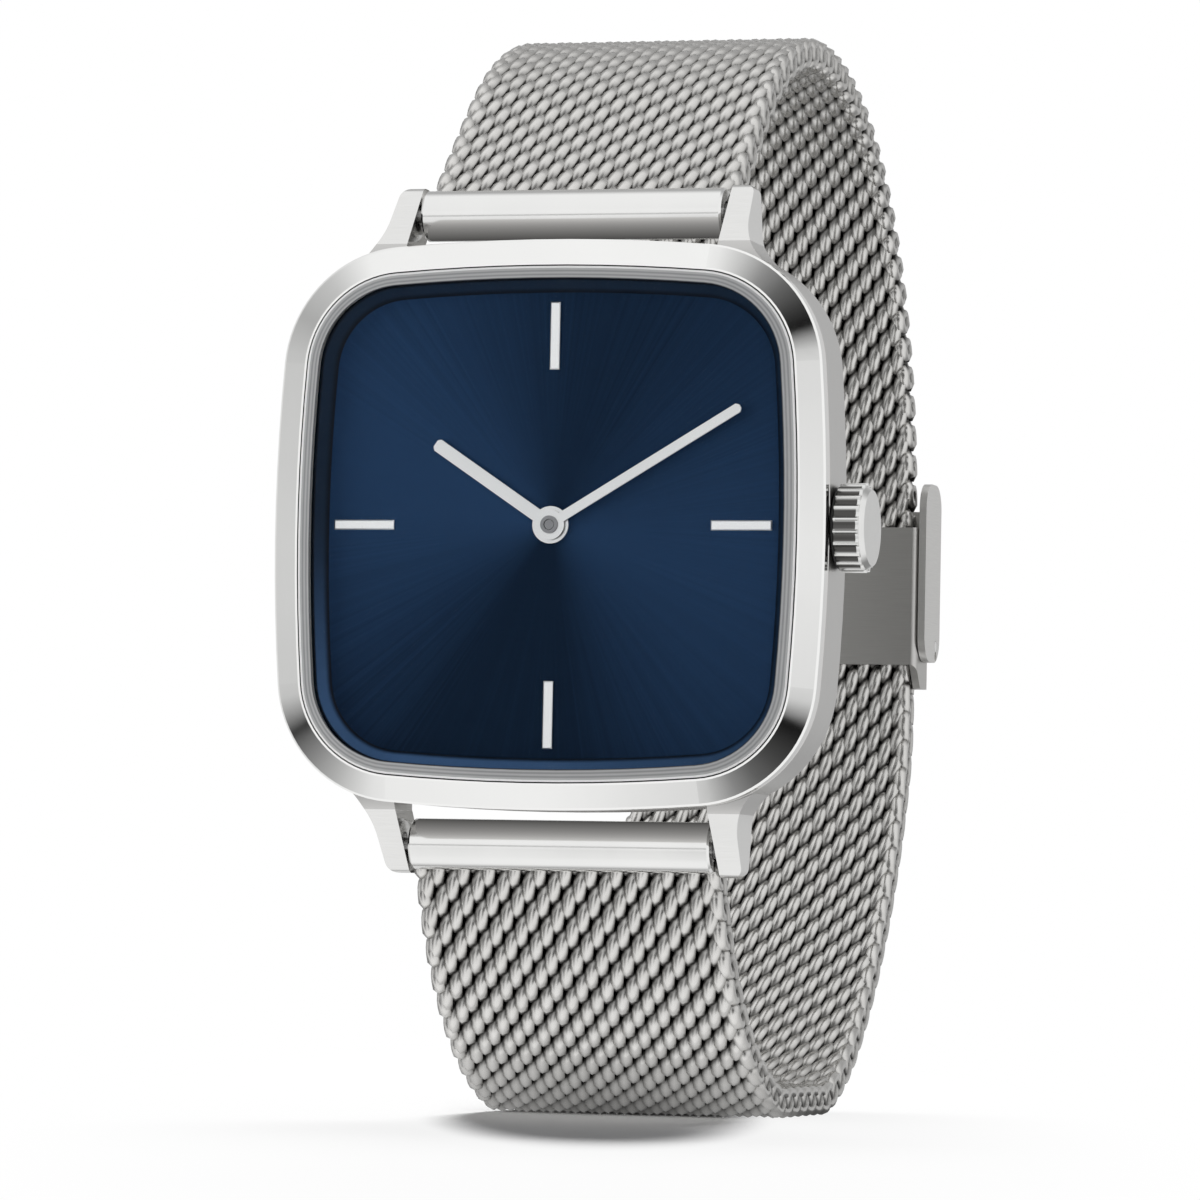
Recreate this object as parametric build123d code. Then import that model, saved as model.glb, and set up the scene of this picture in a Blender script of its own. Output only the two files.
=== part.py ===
from build123d import *
from math import atan2, cos, degrees, hypot, radians, sin, sqrt
import os

# Square wristwatch standing on its closed strap. Millimetres, +Z up, the dial faces -Y, the crown is on +X.
# The origin is the middle of the flat patch on which the strap stands.
# Pieces of the head are drawn on the dial plane: x to the right, y up, height above the dial towards the viewer.

# Case
case_half = 16.0
case_corner = 7.1
case_bulge = 115.0
case_front = 0.1
case_depth = 4.2
case_wall = 2.1
case_edge = 0.12
overrun = 0.6
slip = 0.05
full_turn = 360
half_turn = 180
quarter_turn = 90
half_share = 0.5

# Bezel
rim_height = 1.05
rim_edge = 0.12
slope_width = 1.24
slope_rise = 0.4
lip_width = 0.12
spigot_inset = 1.3
spigot_depth = 0.4

# Crystal, its gasket and the sloping ring under it
gasket_wall = 0.08
crystal_thickness = 0.75
crystal_proud = 0.15
crystal_bevel = 0.7
crystal_bevel_drop = 0.12
rehaut_width = 0.76
rehaut_lip = 0.08

# Dial and markers
dial_thickness = 0.4
dial_hole = 0.9
dial_foot_radius = 0.35
dial_foot_length = 0.95
dial_foot_x = 7.0
dial_foot_y = 5.7
marker_width = 0.55
marker_height = 0.18
marker_edge = 0.06
marker_length = 3.8
marker_rehaut_gap = 0.54
side_marker_length = 3.5
side_marker_rehaut_gap = 0.36

# Hands, their angles clockwise from twelve
hour_hand_angle = 303.9
minute_hand_angle = 58.8
hour_hand_marker_gap = 0.55
hour_hand_width = 0.74
hour_boss_radius = 1.05
hour_hand_height = 0.2
minute_hand_past_markers = 0.2
minute_hand_width = 0.55
minute_boss_radius = 0.85
minute_hand_height = 0.42
hand_thickness = 0.12
hand_tip_chamfer = 0.16

# Case back, gasket and screws
back_margin = 0.15
back_flange = 0.5
back_step_inset = 2.3
back_step_height = 0.65
back_step_taper = 0.5
back_spigot_wall = 0.9
back_spigot_height = 0.45
back_dish_inset = 3.6
back_dish_floor = 0.55
back_gasket_width = 0.55
back_gasket_height = 0.3
back_screw_inset = 0.95
back_screw_radius = 0.35
back_screw_length = 1.6
back_screw_head_radius = 0.58
back_screw_head = 0.22
screw_slot_width = 0.14
screw_slot_depth = 0.1

# Lugs and spring bars
lug_side_clearance = 0.1
lug_tip_width = 1.3
lug_tip_past_bar = 1.65
lug_root_width = 2.9
lug_root_inset = 1.3
lug_anchor_inset = 3.0
lug_waist_width = 1.75
lug_waist_outset = 0.2
lug_flank_width = 1.42
lug_flank_length = 1.9
lug_front_inset = 0.4
lug_front_depth = 0.5
lug_tip_front_depth = 3.9
lug_back_depth = 5.2
lug_back_flat = 2.35
lug_back_root_inset = 0.05
lug_shoulder_radius = 1.8
lug_tip_front_radius = 0.75
lug_tip_back_radius = 0.45
lug_tip_corner = 0.6
lug_bend_radius = 1.5
bar_depth = 3.8
end_tube_case_gap = 0.45
bar_pin_radius = 0.35
bar_hole_radius = 0.4
bar_pin_entry = 0.85
bar_flange_radius = 0.58
bar_flange_width = 0.15
bar_flange_gap = 0.3
bar_travel = 0.9
bar_shell_radius = 0.62
bar_shell_bore = 0.42
bar_shaft_radius = 0.38
bar_shaft_length = 0.8
bar_spring_bore = 0.2
end_tube_radius = 1.45
end_tube_bore = 0.7
end_tube_gap = 0.3
end_tube_edge = 0.12

# Strap: a band of woven wire, thickness measured over the wires
strap_width = 18.0
strap_thickness = 1.9
strap_proud = 0.43
strap_rear = 53.6
patch_depth = 0.5
lower_heading = 27.0
lower_run = 4.4
lower_front_radius = 21.6
lower_front_heading = 84.0
lower_rest_radius = 36.0
lower_rest_heading = 96.0
lower_near_radius = 20.5
lower_near_heading = 128.0
lower_far_radius = 39.5
lower_far_heading = 158.0
lower_end_below_dial = 2.6
upper_heading = 49.0
upper_run = 11.0
upper_near_radius = 22.0
upper_near_heading = 90.0
upper_end_above_dial = 0.3
strap_end_heading = 180.0
rib_pitch = 2.4
rib_groove_width = 1.1
rib_groove_depth = 0.45

# Clasp, its heights measured from the level of the dial's centre
clasp_sheet = 0.45
clasp_plate = 0.5
clasp_side_gap = 0.1
clasp_face_gap = 0.1
clasp_plate_top = 3.35
clasp_plate_bottom = -5.35
clasp_wall_depth = 3.2
clasp_tab_bottom = -6.8
clasp_tab_depth = 1.9
clasp_tab_start = 1.2
clasp_bridge_gap = 0.15
clasp_bridge_top = -4.95
cover_top = 6.2
cover_bottom = -5.1
cover_gap = 0.05
cover_depth = 4.4
cover_end_radius = 1.6
cover_plate_bottom = -3.65
cover_dimple_radius = 0.28
cover_dimple_depth = 0.15
cover_dimple_drop = 0.62
hinge_pin_radius = 0.35
hinge_clearance = 0.03
hinge_height = -4.05
hinge_inside_cover = 1.1
lock_hub_radius = 0.62
lock_gap = 0.1
lock_bar_side_gap = 0.5
latch_bar_radius = 0.35
latch_bar_depth = 2.75
latch_bar_height = -0.6
hook_width = 14.0
hook_thickness = 0.55
hook_depth = 1.2
hook_lip_radius = 0.4
hook_lip_height = -1.3

# Crown, tube and stem, measured along +X from the dial's centre
stem_depth = 2.1
crown_radius = 2.5
crown_cap_radius = 2.12
crown_gap = 0.25
crown_grip_length = 1.43
crown_bevel_length = 0.27
crown_flutes = 22
flute_radius = 0.36
flute_depth = 0.19
crown_recess_radius = 1.35
crown_recess_depth = 1.0
crown_tube_radius = 0.9
crown_tube_bore = 0.55
crown_tube_proud = 0.75
crown_gasket_width = 0.34
stem_radius = 0.5
stem_inner_radius = 0.45
stem_step_x = 11.0
stem_groove_x = 6.3
stem_groove_width = 0.32
stem_groove_radius = 0.25
stem_square_end = 6.0
stem_square_start = 4.4
stem_square_side = 0.5
stem_pilot_start = 3.6
stem_pilot_radius = 0.24
stem_crown_entry = 1.2

# Movement: plate, bridge and holder
plate_half_x = 8.9
plate_half_y = 7.6
plate_corner = 3.0
plate_top = -1.1
plate_thickness = 0.6
holder_bottom = -3.5
stem_slot_half = 0.75
bridge_top = -3.05
bridge_thickness = 0.25
bridge_margin = 0.8
post_radius = 0.6
bridge_post_x = 3.0
bridge_post_y = 3.2
bridge_post_far_x = -6.3
bridge_post_far_y = 2.2
movement_screw_radius = 0.3
movement_screw_length = 0.9
movement_screw_head_radius = 0.52
movement_screw_head = 0.2
pivot_radius = 0.12
pivot_length = 0.25
pivot_clearance = 0.03
stem_guide_start = 7.6
stem_guide_half = 1.1
stem_guide_depth = 1.2
board_thickness = 0.15
board_start_x = 1.6
board_end_x = 8.2
board_start_y = -6.9
board_end_y = -1.5
board_corner = 0.9
quartz_radius = 0.7
quartz_length = 4.2
quartz_x = 5.2
quartz_y = -5.4
battery_radius = 3.4
battery_thickness = 2.1
battery_x = -5.1
battery_y = -3.95
battery_cap_radius = 2.9
battery_cap_height = 0.25
battery_top = -1.2
clamp_width = 1.6
clamp_thickness = 0.12
clamp_post_x = 0.6
clamp_post_y = -5.9
coil_radius = 0.6
coil_y = 6.2
coil_left = -6.2
coil_right = 2.2
coil_core_width = 0.8
coil_core_thickness = 0.3
coil_core_overhang = 1.0
stator_top = -1.75
stator_thickness = 0.55
stator_bar_y = 4.85
stator_bar_width = 0.7
stator_ring_radius = 1.7
stator_hole_radius = 1.1
rotor_magnet_radius = 0.9
rotor_magnet_top = -1.85
rotor_magnet_thickness = 0.45

# Wheel train and hand-setting wheels
train_module = 0.08
centre_teeth = 72
centre_wheel_top = -2.08
intermediate_teeth = 60
intermediate_wheel_top = -2.5
intermediate_leaves = 8
intermediate_leaves_top = -1.95
intermediate_leaves_length = 0.4
rotor_leaves = 6
rotor_leaves_top = -2.4
rotor_leaves_length = 0.35
intermediate_place_angle = 110.0
rotor_place_angle = 165.0
wheel_thickness = 0.12
arbor_radius = 0.17
centre_arbor_radius = 0.27
motion_module = 0.1
hour_module = 0.096
cannon_leaves = 12
cannon_leaves_top = -0.8
cannon_leaves_length = 0.2
cannon_radius = 0.5
cannon_bore = 0.3
cannon_top = 0.64
minute_wheel_teeth = 36
minute_leaves = 10
minute_leaves_length = 0.35
minute_place_angle = -30.0
hour_teeth = 40
hour_wheel_top = -0.58
hour_pipe_radius = 0.75
hour_pipe_clearance = 0.03
motion_wheel_top = -0.85
motion_wheel_thickness = 0.15
setting_teeth = 16
setting_place_angle = 20.0
motion_post_radius = 0.2
tooth_addendum_share = 0.9
tooth_dedendum_share = 1.15
tooth_tip_share = 0.38
tooth_root_share = 1.15
clutch_teeth = 14
clutch_start = 5.0
clutch_end = 5.9
clutch_clearance = 0.04
clutch_slot_gap = 0.1
lever_pivot_y = 2.2
lever_pivot_radius = 0.25
lever_thickness = 0.15
lever_level = -2.7
lever_width = 0.55
lever_pin_radius = 0.11
lever_tail = 1.1

# Derived places
bezel_bore_inset = rim_edge + slope_width + lip_width
lip_height = rim_height + slope_rise
crystal_top = lip_height + crystal_proud
crystal_bottom = crystal_top - crystal_thickness
case_back_height = case_front - case_depth
dial_bottom = -dial_thickness
plate_bottom = plate_top - plate_thickness
rehaut_inner = case_half - case_wall - slip - rehaut_width
marker_outer_reach = rehaut_inner - marker_rehaut_gap
marker_inner_reach = marker_outer_reach - marker_length
minute_hand_length = marker_outer_reach + minute_hand_past_markers
hour_hand_length = marker_inner_reach - hour_hand_marker_gap
bar_reach = case_half + end_tube_case_gap + end_tube_radius
lug_inner = strap_width / 2 + lug_side_clearance
lug_tip_reach = bar_reach + lug_tip_past_bar
lug_root_reach = case_half - lug_root_inset
lug_root_inside = case_half - lug_anchor_inset
lug_waist_reach = case_half + lug_waist_outset
lug_flank_reach = lug_tip_reach - lug_flank_length
lug_front_start = case_half - lug_front_inset
lug_back_bend_reach = lug_tip_reach - lug_back_flat
lug_back_root_reach = case_half - lug_back_root_inset
bar_half = lug_inner - bar_flange_gap - bar_flange_width
bar_shell_half = bar_half - bar_travel - slip
crown_start = case_half + crown_gap
crown_end = crown_start + crown_grip_length + crown_bevel_length
crown_recess_end = crown_start + crown_recess_depth


def offset_pillow(half, corner, bulge):
    """Square face with bulging sides and round corners, all arcs tangent."""
    side_centre = half - bulge
    reach = bulge - corner
    middle = (side_centre + sqrt(2 * reach**2 - side_centre**2)) / 2
    share = bulge / reach
    x = side_centre + (middle - side_centre) * share
    y = middle * share
    tip = middle + corner / sqrt(2)
    edges = []
    for turn in range(4):
        side = ThreePointArc((x, -y), (half, 0), (x, y))
        round_corner = ThreePointArc((x, y), (tip, tip), (y, x))
        edges += [Rot(0, 0, quarter_turn * turn) * side, Rot(0, 0, quarter_turn * turn) * round_corner]
    return make_face(edges)


def pillow(inset=0.0):
    """The case outline, moved inwards by an inset."""
    return offset_pillow(case_half - inset, case_corner - inset, case_bulge - inset)


def slab(face, low, high):
    """Prism of a face on the dial plane, between two heights."""
    return extrude(Pos(0, 0, low) * face, high - low, dir=(0, 0, 1))


def taper(low_inset, low, high_inset, high):
    """Solid between two insets of the case outline at two heights."""
    return loft([Pos(0, 0, low) * pillow(low_inset), Pos(0, 0, high) * pillow(high_inset)], ruled=True)


def drum(radius, low, high, at=(0, 0)):
    """Cylinder square to the dial plane, between two heights."""
    return slab(Pos(at[0], at[1]) * Circle(radius), low, high)


def along_x(shape, up=0.0, height=0.0):
    """Lay a solid drawn along the height axis along +X, at a place on the dial plane."""
    return Pos(0, up, height) * Rot(0, quarter_turn, 0) * shape


def rod(radius, start, end, up=0.0, height=0.0):
    """Cylinder along X between two places."""
    return along_x(drum(radius, start, end), up, height)


def polar(reach, angle):
    """Point at a distance and an angle in degrees."""
    return reach * cos(radians(angle)), reach * sin(radians(angle))


def angle_of(start, end):
    """Bearing in degrees from one point to another."""
    return degrees(atan2(end[1] - start[1], end[0] - start[0]))


def gear_face(teeth, module, turn=0.0):
    """Outline of a spur wheel with one tooth at the angle given by turn."""
    tip = module * (teeth / 2 + tooth_addendum_share)
    root = module * (teeth / 2 - tooth_dedendum_share)
    quarter = quarter_turn / teeth
    points = []
    for tooth in range(teeth):
        middle = turn + full_turn * tooth / teeth
        points.append(polar(root, middle - quarter * tooth_root_share))
        points.append(polar(tip, middle - quarter * tooth_tip_share))
        points.append(polar(tip, middle + quarter * tooth_tip_share))
        points.append(polar(root, middle + quarter * tooth_root_share))
    return make_face(Polyline(*points, close=True))


def gear(teeth, module, top, thickness, at=(0, 0), turn=0.0):
    """Spur wheel hanging down from a height."""
    return slab(Pos(at[0], at[1]) * gear_face(teeth, module, turn), top - thickness, top)


def mesh_turn(turn, teeth, angle, other_teeth):
    """Turn that puts a second wheel, standing at an angle, in mesh with the first."""
    pitch = full_turn / teeth
    share = ((angle - turn) % pitch) / pitch
    return angle + half_turn + (share + half_share) * full_turn / other_teeth


def mid_case():
    """Case band with its cavity, rebates, lugs, crown tube bore and screw holes."""
    rear = case_back_height
    body = slab(pillow(), rear + case_edge, case_front - case_edge)
    body += taper(0, case_front - case_edge, case_edge, case_front)
    body += taper(case_edge, rear, 0, rear + case_edge)
    for side in (1, -1):
        for end in (1, -1):
            lug = one_lug()
            lug = lug if side > 0 else mirror(lug, about=Plane.YZ)
            body += lug if end > 0 else mirror(lug, about=Plane.XZ)
    body -= slab(pillow(case_wall), rear - overrun, case_front + overrun)
    body -= slab(pillow(spigot_inset), case_front - spigot_depth, case_front + overrun)
    body -= slab(pillow(case_wall - back_gasket_width), rear - overrun, rear + back_gasket_height)
    body -= rod(crown_tube_radius, case_half - case_wall - overrun, case_half + overrun, 0, -stem_depth)
    for x, y in screw_places():
        body -= drum(back_screw_radius, rear, rear + back_screw_length, (x, y))
    return body


def one_lug():
    """Upper right lug: the front outline and the side outline cut from each other."""
    front_points = [
        (lug_inner, lug_root_inside),
        (lug_inner, lug_tip_reach),
        (lug_inner + lug_tip_width, lug_tip_reach),
        (lug_inner + lug_flank_width, lug_flank_reach),
    ]
    flank = ThreePointArc(
        (lug_inner + lug_flank_width, lug_flank_reach),
        (lug_inner + lug_waist_width, lug_waist_reach),
        (lug_inner + lug_root_width, lug_root_reach),
    )
    foot = Polyline(
        (lug_inner + lug_root_width, lug_root_reach),
        (lug_inner + lug_root_width, lug_root_inside),
        (lug_inner, lug_root_inside),
    )
    front = make_face([Polyline(*front_points), flank, foot])
    tips = front.vertices().group_by(Axis.Y)[-1].sort_by(Axis.X)
    front = fillet(tips[-1], lug_tip_corner)
    profile = Polyline(
        (lug_root_inside, -lug_front_depth),
        (lug_front_start, -lug_front_depth),
        (lug_tip_reach, -lug_tip_front_depth),
        (lug_tip_reach, -lug_back_depth),
        (lug_back_bend_reach, -lug_back_depth),
        (lug_back_root_reach, case_back_height),
        (lug_root_inside, case_back_height),
        close=True,
    )
    side = make_face(profile)
    tip_front = side.vertices().filter_by(lambda v: abs(v.Y + lug_tip_front_depth) < slip)
    side = fillet(tip_front, lug_tip_front_radius)
    tip_back = side.vertices().filter_by(lambda v: v.X > lug_flank_reach and v.Y < -lug_back_depth + slip)
    side = fillet(tip_back, lug_tip_back_radius)
    shoulder = side.vertices().filter_by(
        lambda v: abs(v.X - lug_front_start) < slip and abs(v.Y + lug_front_depth) < slip
    )
    side = fillet(shoulder, lug_shoulder_radius)
    bend = side.vertices().filter_by(
        lambda v: abs(v.X - lug_back_bend_reach) < slip and abs(v.Y + lug_back_depth) < slip
    )
    side = fillet(bend, lug_bend_radius)
    depth = slab(front, -lug_back_depth - overrun, case_front)
    width = extrude(Plane.YZ * side, 2 * case_half, dir=(1, 0, 0))
    lug = depth & width
    hole = rod(bar_hole_radius, lug_inner - overrun, lug_inner + bar_pin_entry + slip, bar_reach, -bar_depth)
    return lug - hole


def corner_place(inset):
    """A place on the corner diagonal, a distance inside the case outline."""
    side_centre = case_half - case_bulge
    reach = case_bulge - case_corner
    middle = (side_centre + sqrt(2 * reach**2 - side_centre**2)) / 2
    return middle + (case_corner - inset) / sqrt(2)


def screw_places():
    """The four places of the case back's screws."""
    place = corner_place(back_screw_inset)
    return [(place, place), (-place, place), (-place, -place), (place, -place)]


def bezel():
    """Upright rim, sloping ring, narrow lip and the spigot that sits in the case band."""
    slope_end = rim_edge + slope_width
    body = taper(case_edge, case_front, 0, case_front + case_edge)
    body += slab(pillow(), case_front + case_edge, rim_height - rim_edge)
    body += taper(0, rim_height - rim_edge, rim_edge, rim_height)
    body += taper(rim_edge, rim_height, slope_end, lip_height)
    body += slab(pillow(spigot_inset), case_front - spigot_depth, case_front)
    body -= slab(pillow(case_wall), case_front - spigot_depth - overrun, lip_height + overrun)
    body -= slab(pillow(bezel_bore_inset), crystal_bottom, lip_height + overrun)
    return body


def crystal():
    """Flat glass with a wide bevelled edge."""
    inset = bezel_bore_inset + gasket_wall
    body = slab(pillow(inset), crystal_bottom, crystal_top - crystal_bevel_drop)
    return body + taper(inset, crystal_top - crystal_bevel_drop, inset + crystal_bevel, crystal_top)


def crystal_gasket():
    """Thin ring between the glass and the bezel."""
    top = crystal_top - crystal_bevel_drop - slip
    ring = slab(pillow(bezel_bore_inset), crystal_bottom, min(top, lip_height - slip))
    return ring - slab(pillow(bezel_bore_inset + gasket_wall), crystal_bottom - overrun, lip_height)


def rehaut():
    """Ring that slopes down from the glass to the dial."""
    inset = case_wall + slip
    body = slab(pillow(inset), 0, crystal_bottom)
    hole = loft(
        [
            Pos(0, 0, 0) * pillow(inset + rehaut_width),
            Pos(0, 0, crystal_bottom) * pillow(inset + rehaut_lip),
        ],
        ruled=True,
    )
    return body - hole


def dial():
    """Dial plate with its centre hole and two feet."""
    body = slab(pillow(case_wall + slip), dial_bottom, 0)
    for side in (1, -1):
        foot = (side * dial_foot_x, -side * dial_foot_y)
        body += drum(dial_foot_radius, dial_bottom - dial_foot_length, dial_bottom, foot)
    return body - drum(dial_hole, dial_bottom - overrun, overrun)


def hour_markers():
    """Four applied batons with bevelled top edges; the two at the sides reach further out and are shorter."""
    markers = []
    for quarter in range(4):
        at_side = quarter % 2
        outer = rehaut_inner - (side_marker_rehaut_gap if at_side else marker_rehaut_gap)
        length = side_marker_length if at_side else marker_length
        baton = slab(Rectangle(marker_width, length), 0, marker_height)
        baton = chamfer(baton.edges().group_by(Axis.Z)[-1], marker_edge)
        markers.append(Rot(0, 0, quarter_turn * quarter) * Pos(0, outer - length / 2, 0) * baton)
    return markers


def hand(length, width, boss, hole, low, angle):
    """Baton hand with a round boss, turned clockwise from twelve."""
    half = width / 2
    narrow = half - hand_tip_chamfer
    shoulder = length - hand_tip_chamfer
    blade = Polyline(
        (-half, 0),
        (-half, shoulder),
        (-narrow, length),
        (narrow, length),
        (half, shoulder),
        (half, 0),
        close=True,
    )
    face = make_face(blade) + Circle(boss) - Circle(hole)
    return Rot(0, 0, -angle) * slab(face, low, low + hand_thickness)


def case_back():
    """Back plate: flange, raised centre with sloping sides, and the inner spigot."""
    top = case_back_height
    flange_bottom = top - back_flange
    body = slab(pillow(back_margin), flange_bottom, top)
    step_low = flange_bottom - back_step_height
    body += taper(back_step_inset + back_step_taper, step_low, back_step_inset, flange_bottom)
    body -= slab(pillow(back_dish_inset), step_low + back_dish_floor, top + overrun)
    spigot = slab(pillow(case_wall + slip), top, top + back_spigot_height)
    spigot -= slab(pillow(case_wall + slip + back_spigot_wall), top, top + back_spigot_height + overrun)
    body += spigot
    for place in screw_places():
        body -= drum(back_screw_radius, flange_bottom - overrun, top + overrun, place)
        body -= drum(back_screw_head_radius, flange_bottom - overrun, flange_bottom + back_screw_head, place)
    return body


def back_gasket():
    """Flat ring in the rebate between the case band and the back."""
    inset = case_wall - back_gasket_width
    ring = slab(pillow(inset), case_back_height, case_back_height + back_gasket_height)
    low = case_back_height - overrun
    return ring - slab(pillow(case_wall), low, case_back_height + back_gasket_height + overrun)


def slotted_screw(head_radius, head, radius, length, seat, place):
    """Screw with its head below a seat height and its shank above it."""
    body = drum(head_radius, seat - head, seat, place)
    slot = slab(Rectangle(2 * head_radius, screw_slot_width), seat - head, seat - head + screw_slot_depth)
    body -= Pos(place[0], place[1]) * slot
    return body + drum(radius, seat, seat + length, place)


def back_screws():
    """Four screws, heads sunk in the flange."""
    seat = case_back_height - back_flange + back_screw_head
    length = back_flange - back_screw_head + back_screw_length
    return [
        slotted_screw(back_screw_head_radius, back_screw_head, back_screw_radius, length, seat, place)
        for place in screw_places()
    ]


def crown():
    """Fluted grip, smooth bevelled cap, and the recess that covers the tube."""
    grip = drum(crown_radius, crown_start, crown_start + crown_grip_length)
    groove_reach = crown_radius + flute_radius - flute_depth
    groove = drum(flute_radius, crown_start - overrun, crown_start + crown_grip_length, (groove_reach, 0))
    for flute in range(crown_flutes):
        grip -= Rot(0, 0, full_turn * flute / crown_flutes) * groove
    collar = crown_radius - flute_depth
    bevel = loft(
        [
            Pos(0, 0, crown_start + crown_grip_length) * Circle(collar),
            Pos(0, 0, crown_end) * Circle(crown_cap_radius),
        ],
        ruled=True,
    )
    body = grip + bevel
    body -= drum(crown_recess_radius, crown_start - overrun, crown_recess_end)
    body -= drum(stem_radius, crown_start, crown_start + stem_crown_entry)
    return along_x(body, 0, -stem_depth)


def crown_tube():
    """Pipe fixed in the case band, running into the crown's recess."""
    start = case_half - case_wall
    end = case_half + crown_tube_proud
    body = drum(crown_tube_radius, start, end) - drum(crown_tube_bore, start - overrun, end + overrun)
    return along_x(body, 0, -stem_depth)


def crown_gasket():
    """Ring in the crown that slides on the tube."""
    start = case_half + crown_tube_proud - crown_gasket_width
    body = drum(crown_recess_radius, start, start + crown_gasket_width)
    body -= drum(crown_tube_radius + slip, start - overrun, start + crown_gasket_width + overrun)
    return along_x(body, 0, -stem_depth)


def winding_stem():
    """Stem with pilot, square, groove for the lever, and journals out to the crown."""
    groove_start = stem_groove_x - stem_groove_width / 2
    groove_end = stem_groove_x + stem_groove_width / 2
    body = drum(stem_pilot_radius, stem_pilot_start, stem_square_start)
    body += slab(Rectangle(stem_square_side, stem_square_side), stem_square_start, stem_square_end)
    body += drum(stem_inner_radius, stem_square_end, groove_start)
    body += drum(stem_groove_radius, groove_start, groove_end)
    body += drum(stem_inner_radius, groove_end, stem_step_x)
    body += drum(stem_radius, stem_step_x, crown_start + stem_crown_entry)
    return along_x(body, 0, -stem_depth)


def sliding_pinion():
    """Toothed sleeve with a square hole, turned by the stem."""
    face = gear_face(clutch_teeth, motion_module)
    hole = stem_square_side + 2 * clutch_clearance
    return along_x(slab(face - Rectangle(hole, hole), clutch_start, clutch_end), 0, -stem_depth)


def setting_lever():
    """Lever on its post, with the pin that rides in the stem's groove."""
    low = lever_level - lever_thickness
    pivot = (stem_groove_x, lever_pivot_y)
    arm = Pos(stem_groove_x, lever_pivot_y / 2) * Rectangle(lever_width, lever_pivot_y)
    tail = Pos(stem_groove_x, lever_pivot_y + lever_tail / 2) * Rectangle(lever_width, lever_tail)
    ends = Pos(stem_groove_x, 0) * Circle(lever_width / 2) + Pos(*pivot) * Circle(lever_width)
    body = slab(arm + tail + ends, low, lever_level)
    body -= drum(lever_pivot_radius + pivot_clearance, low - overrun, lever_level + overrun, pivot)
    pin_top = -stem_depth - stem_groove_radius - slip
    return body + drum(lever_pin_radius, lever_level, pin_top, (stem_groove_x, 0))


intermediate_place = polar(train_module * (centre_teeth + intermediate_leaves) / 2, intermediate_place_angle)
rotor_step = polar(train_module * (intermediate_teeth + rotor_leaves) / 2, rotor_place_angle)
rotor_place = (intermediate_place[0] + rotor_step[0], intermediate_place[1] + rotor_step[1])
minute_place = polar(motion_module * (cannon_leaves + minute_wheel_teeth) / 2, minute_place_angle)
setting_step = polar(motion_module * (minute_wheel_teeth + setting_teeth) / 2, setting_place_angle)
setting_place = (minute_place[0] + setting_step[0], minute_place[1] + setting_step[1])
battery_place = (battery_x, battery_y)
clamp_place = (clamp_post_x, clamp_post_y)
bridge_posts = [(bridge_post_x, bridge_post_y), (bridge_post_far_x, bridge_post_far_y)]
quartz_height = plate_bottom - board_thickness - quartz_radius


def plate_face(margin=0.0):
    """Movement outline, enlarged by a margin."""
    return RectangleRounded(2 * (plate_half_x + margin), 2 * (plate_half_y + margin), plate_corner + margin)


def movement_holder():
    """Ring that fills the case round the movement and carries the dial."""
    body = slab(pillow(case_wall + slip), holder_bottom, dial_bottom)
    body -= slab(plate_face(slip), holder_bottom - overrun, dial_bottom + overrun)
    length = case_half - plate_half_x
    slot = Pos(plate_half_x + length / 2, 0) * Rectangle(length + overrun, 2 * stem_slot_half)
    return body - slab(slot, -stem_depth - stem_slot_half, -stem_depth + stem_slot_half)


def main_plate():
    """Movement plate with posts, stem guide, battery pocket and pivot holes."""
    body = slab(plate_face(), plate_bottom, plate_top)
    for place in bridge_posts:
        body += drum(post_radius, bridge_top, plate_bottom, place)
    clamp_seat = battery_top - battery_thickness
    body += drum(post_radius, clamp_seat, plate_bottom, clamp_place)
    for place in (minute_place, setting_place):
        body += drum(motion_post_radius, plate_top, motion_wheel_top + slip, place)
    lever_post = (stem_groove_x, lever_pivot_y)
    body += drum(lever_pivot_radius, lever_level - lever_thickness, plate_bottom, lever_post)
    guide_length = plate_half_x - stem_guide_start
    guide = Pos(stem_guide_start + guide_length / 2, 0) * Rectangle(guide_length, 2 * stem_guide_half)
    body += slab(guide, plate_bottom - stem_guide_depth, plate_bottom)
    body -= rod(stem_inner_radius + slip, stem_pilot_start - overrun, plate_half_x + overrun, 0, -stem_depth)
    clutch_tip = motion_module * (clutch_teeth / 2 + tooth_addendum_share) + clutch_slot_gap
    slot_start = clutch_start - clutch_slot_gap
    slot_length = clutch_end + clutch_slot_gap - slot_start
    slot = Pos(slot_start + slot_length / 2, 0) * Rectangle(slot_length, 2 * clutch_tip)
    body -= slab(slot, plate_bottom - overrun, plate_top + overrun)
    body -= drum(battery_radius + slip, plate_bottom - overrun, battery_top, battery_place)
    body -= drum(centre_arbor_radius + pivot_clearance, plate_bottom - overrun, plate_top + overrun)
    for place in (intermediate_place, rotor_place):
        body -= drum(pivot_radius + pivot_clearance, plate_bottom - overrun, plate_top + overrun, place)
    for side in (1, -1):
        foot = (side * dial_foot_x, -side * dial_foot_y)
        body -= drum(dial_foot_radius + slip, plate_bottom - overrun, plate_top + overrun, foot)
    screw_top = bridge_top + movement_screw_length
    for place in bridge_posts:
        body -= drum(movement_screw_radius, bridge_top - overrun, screw_top, place)
    body -= drum(movement_screw_radius, clamp_seat, clamp_seat + movement_screw_length, clamp_place)
    return body


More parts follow.
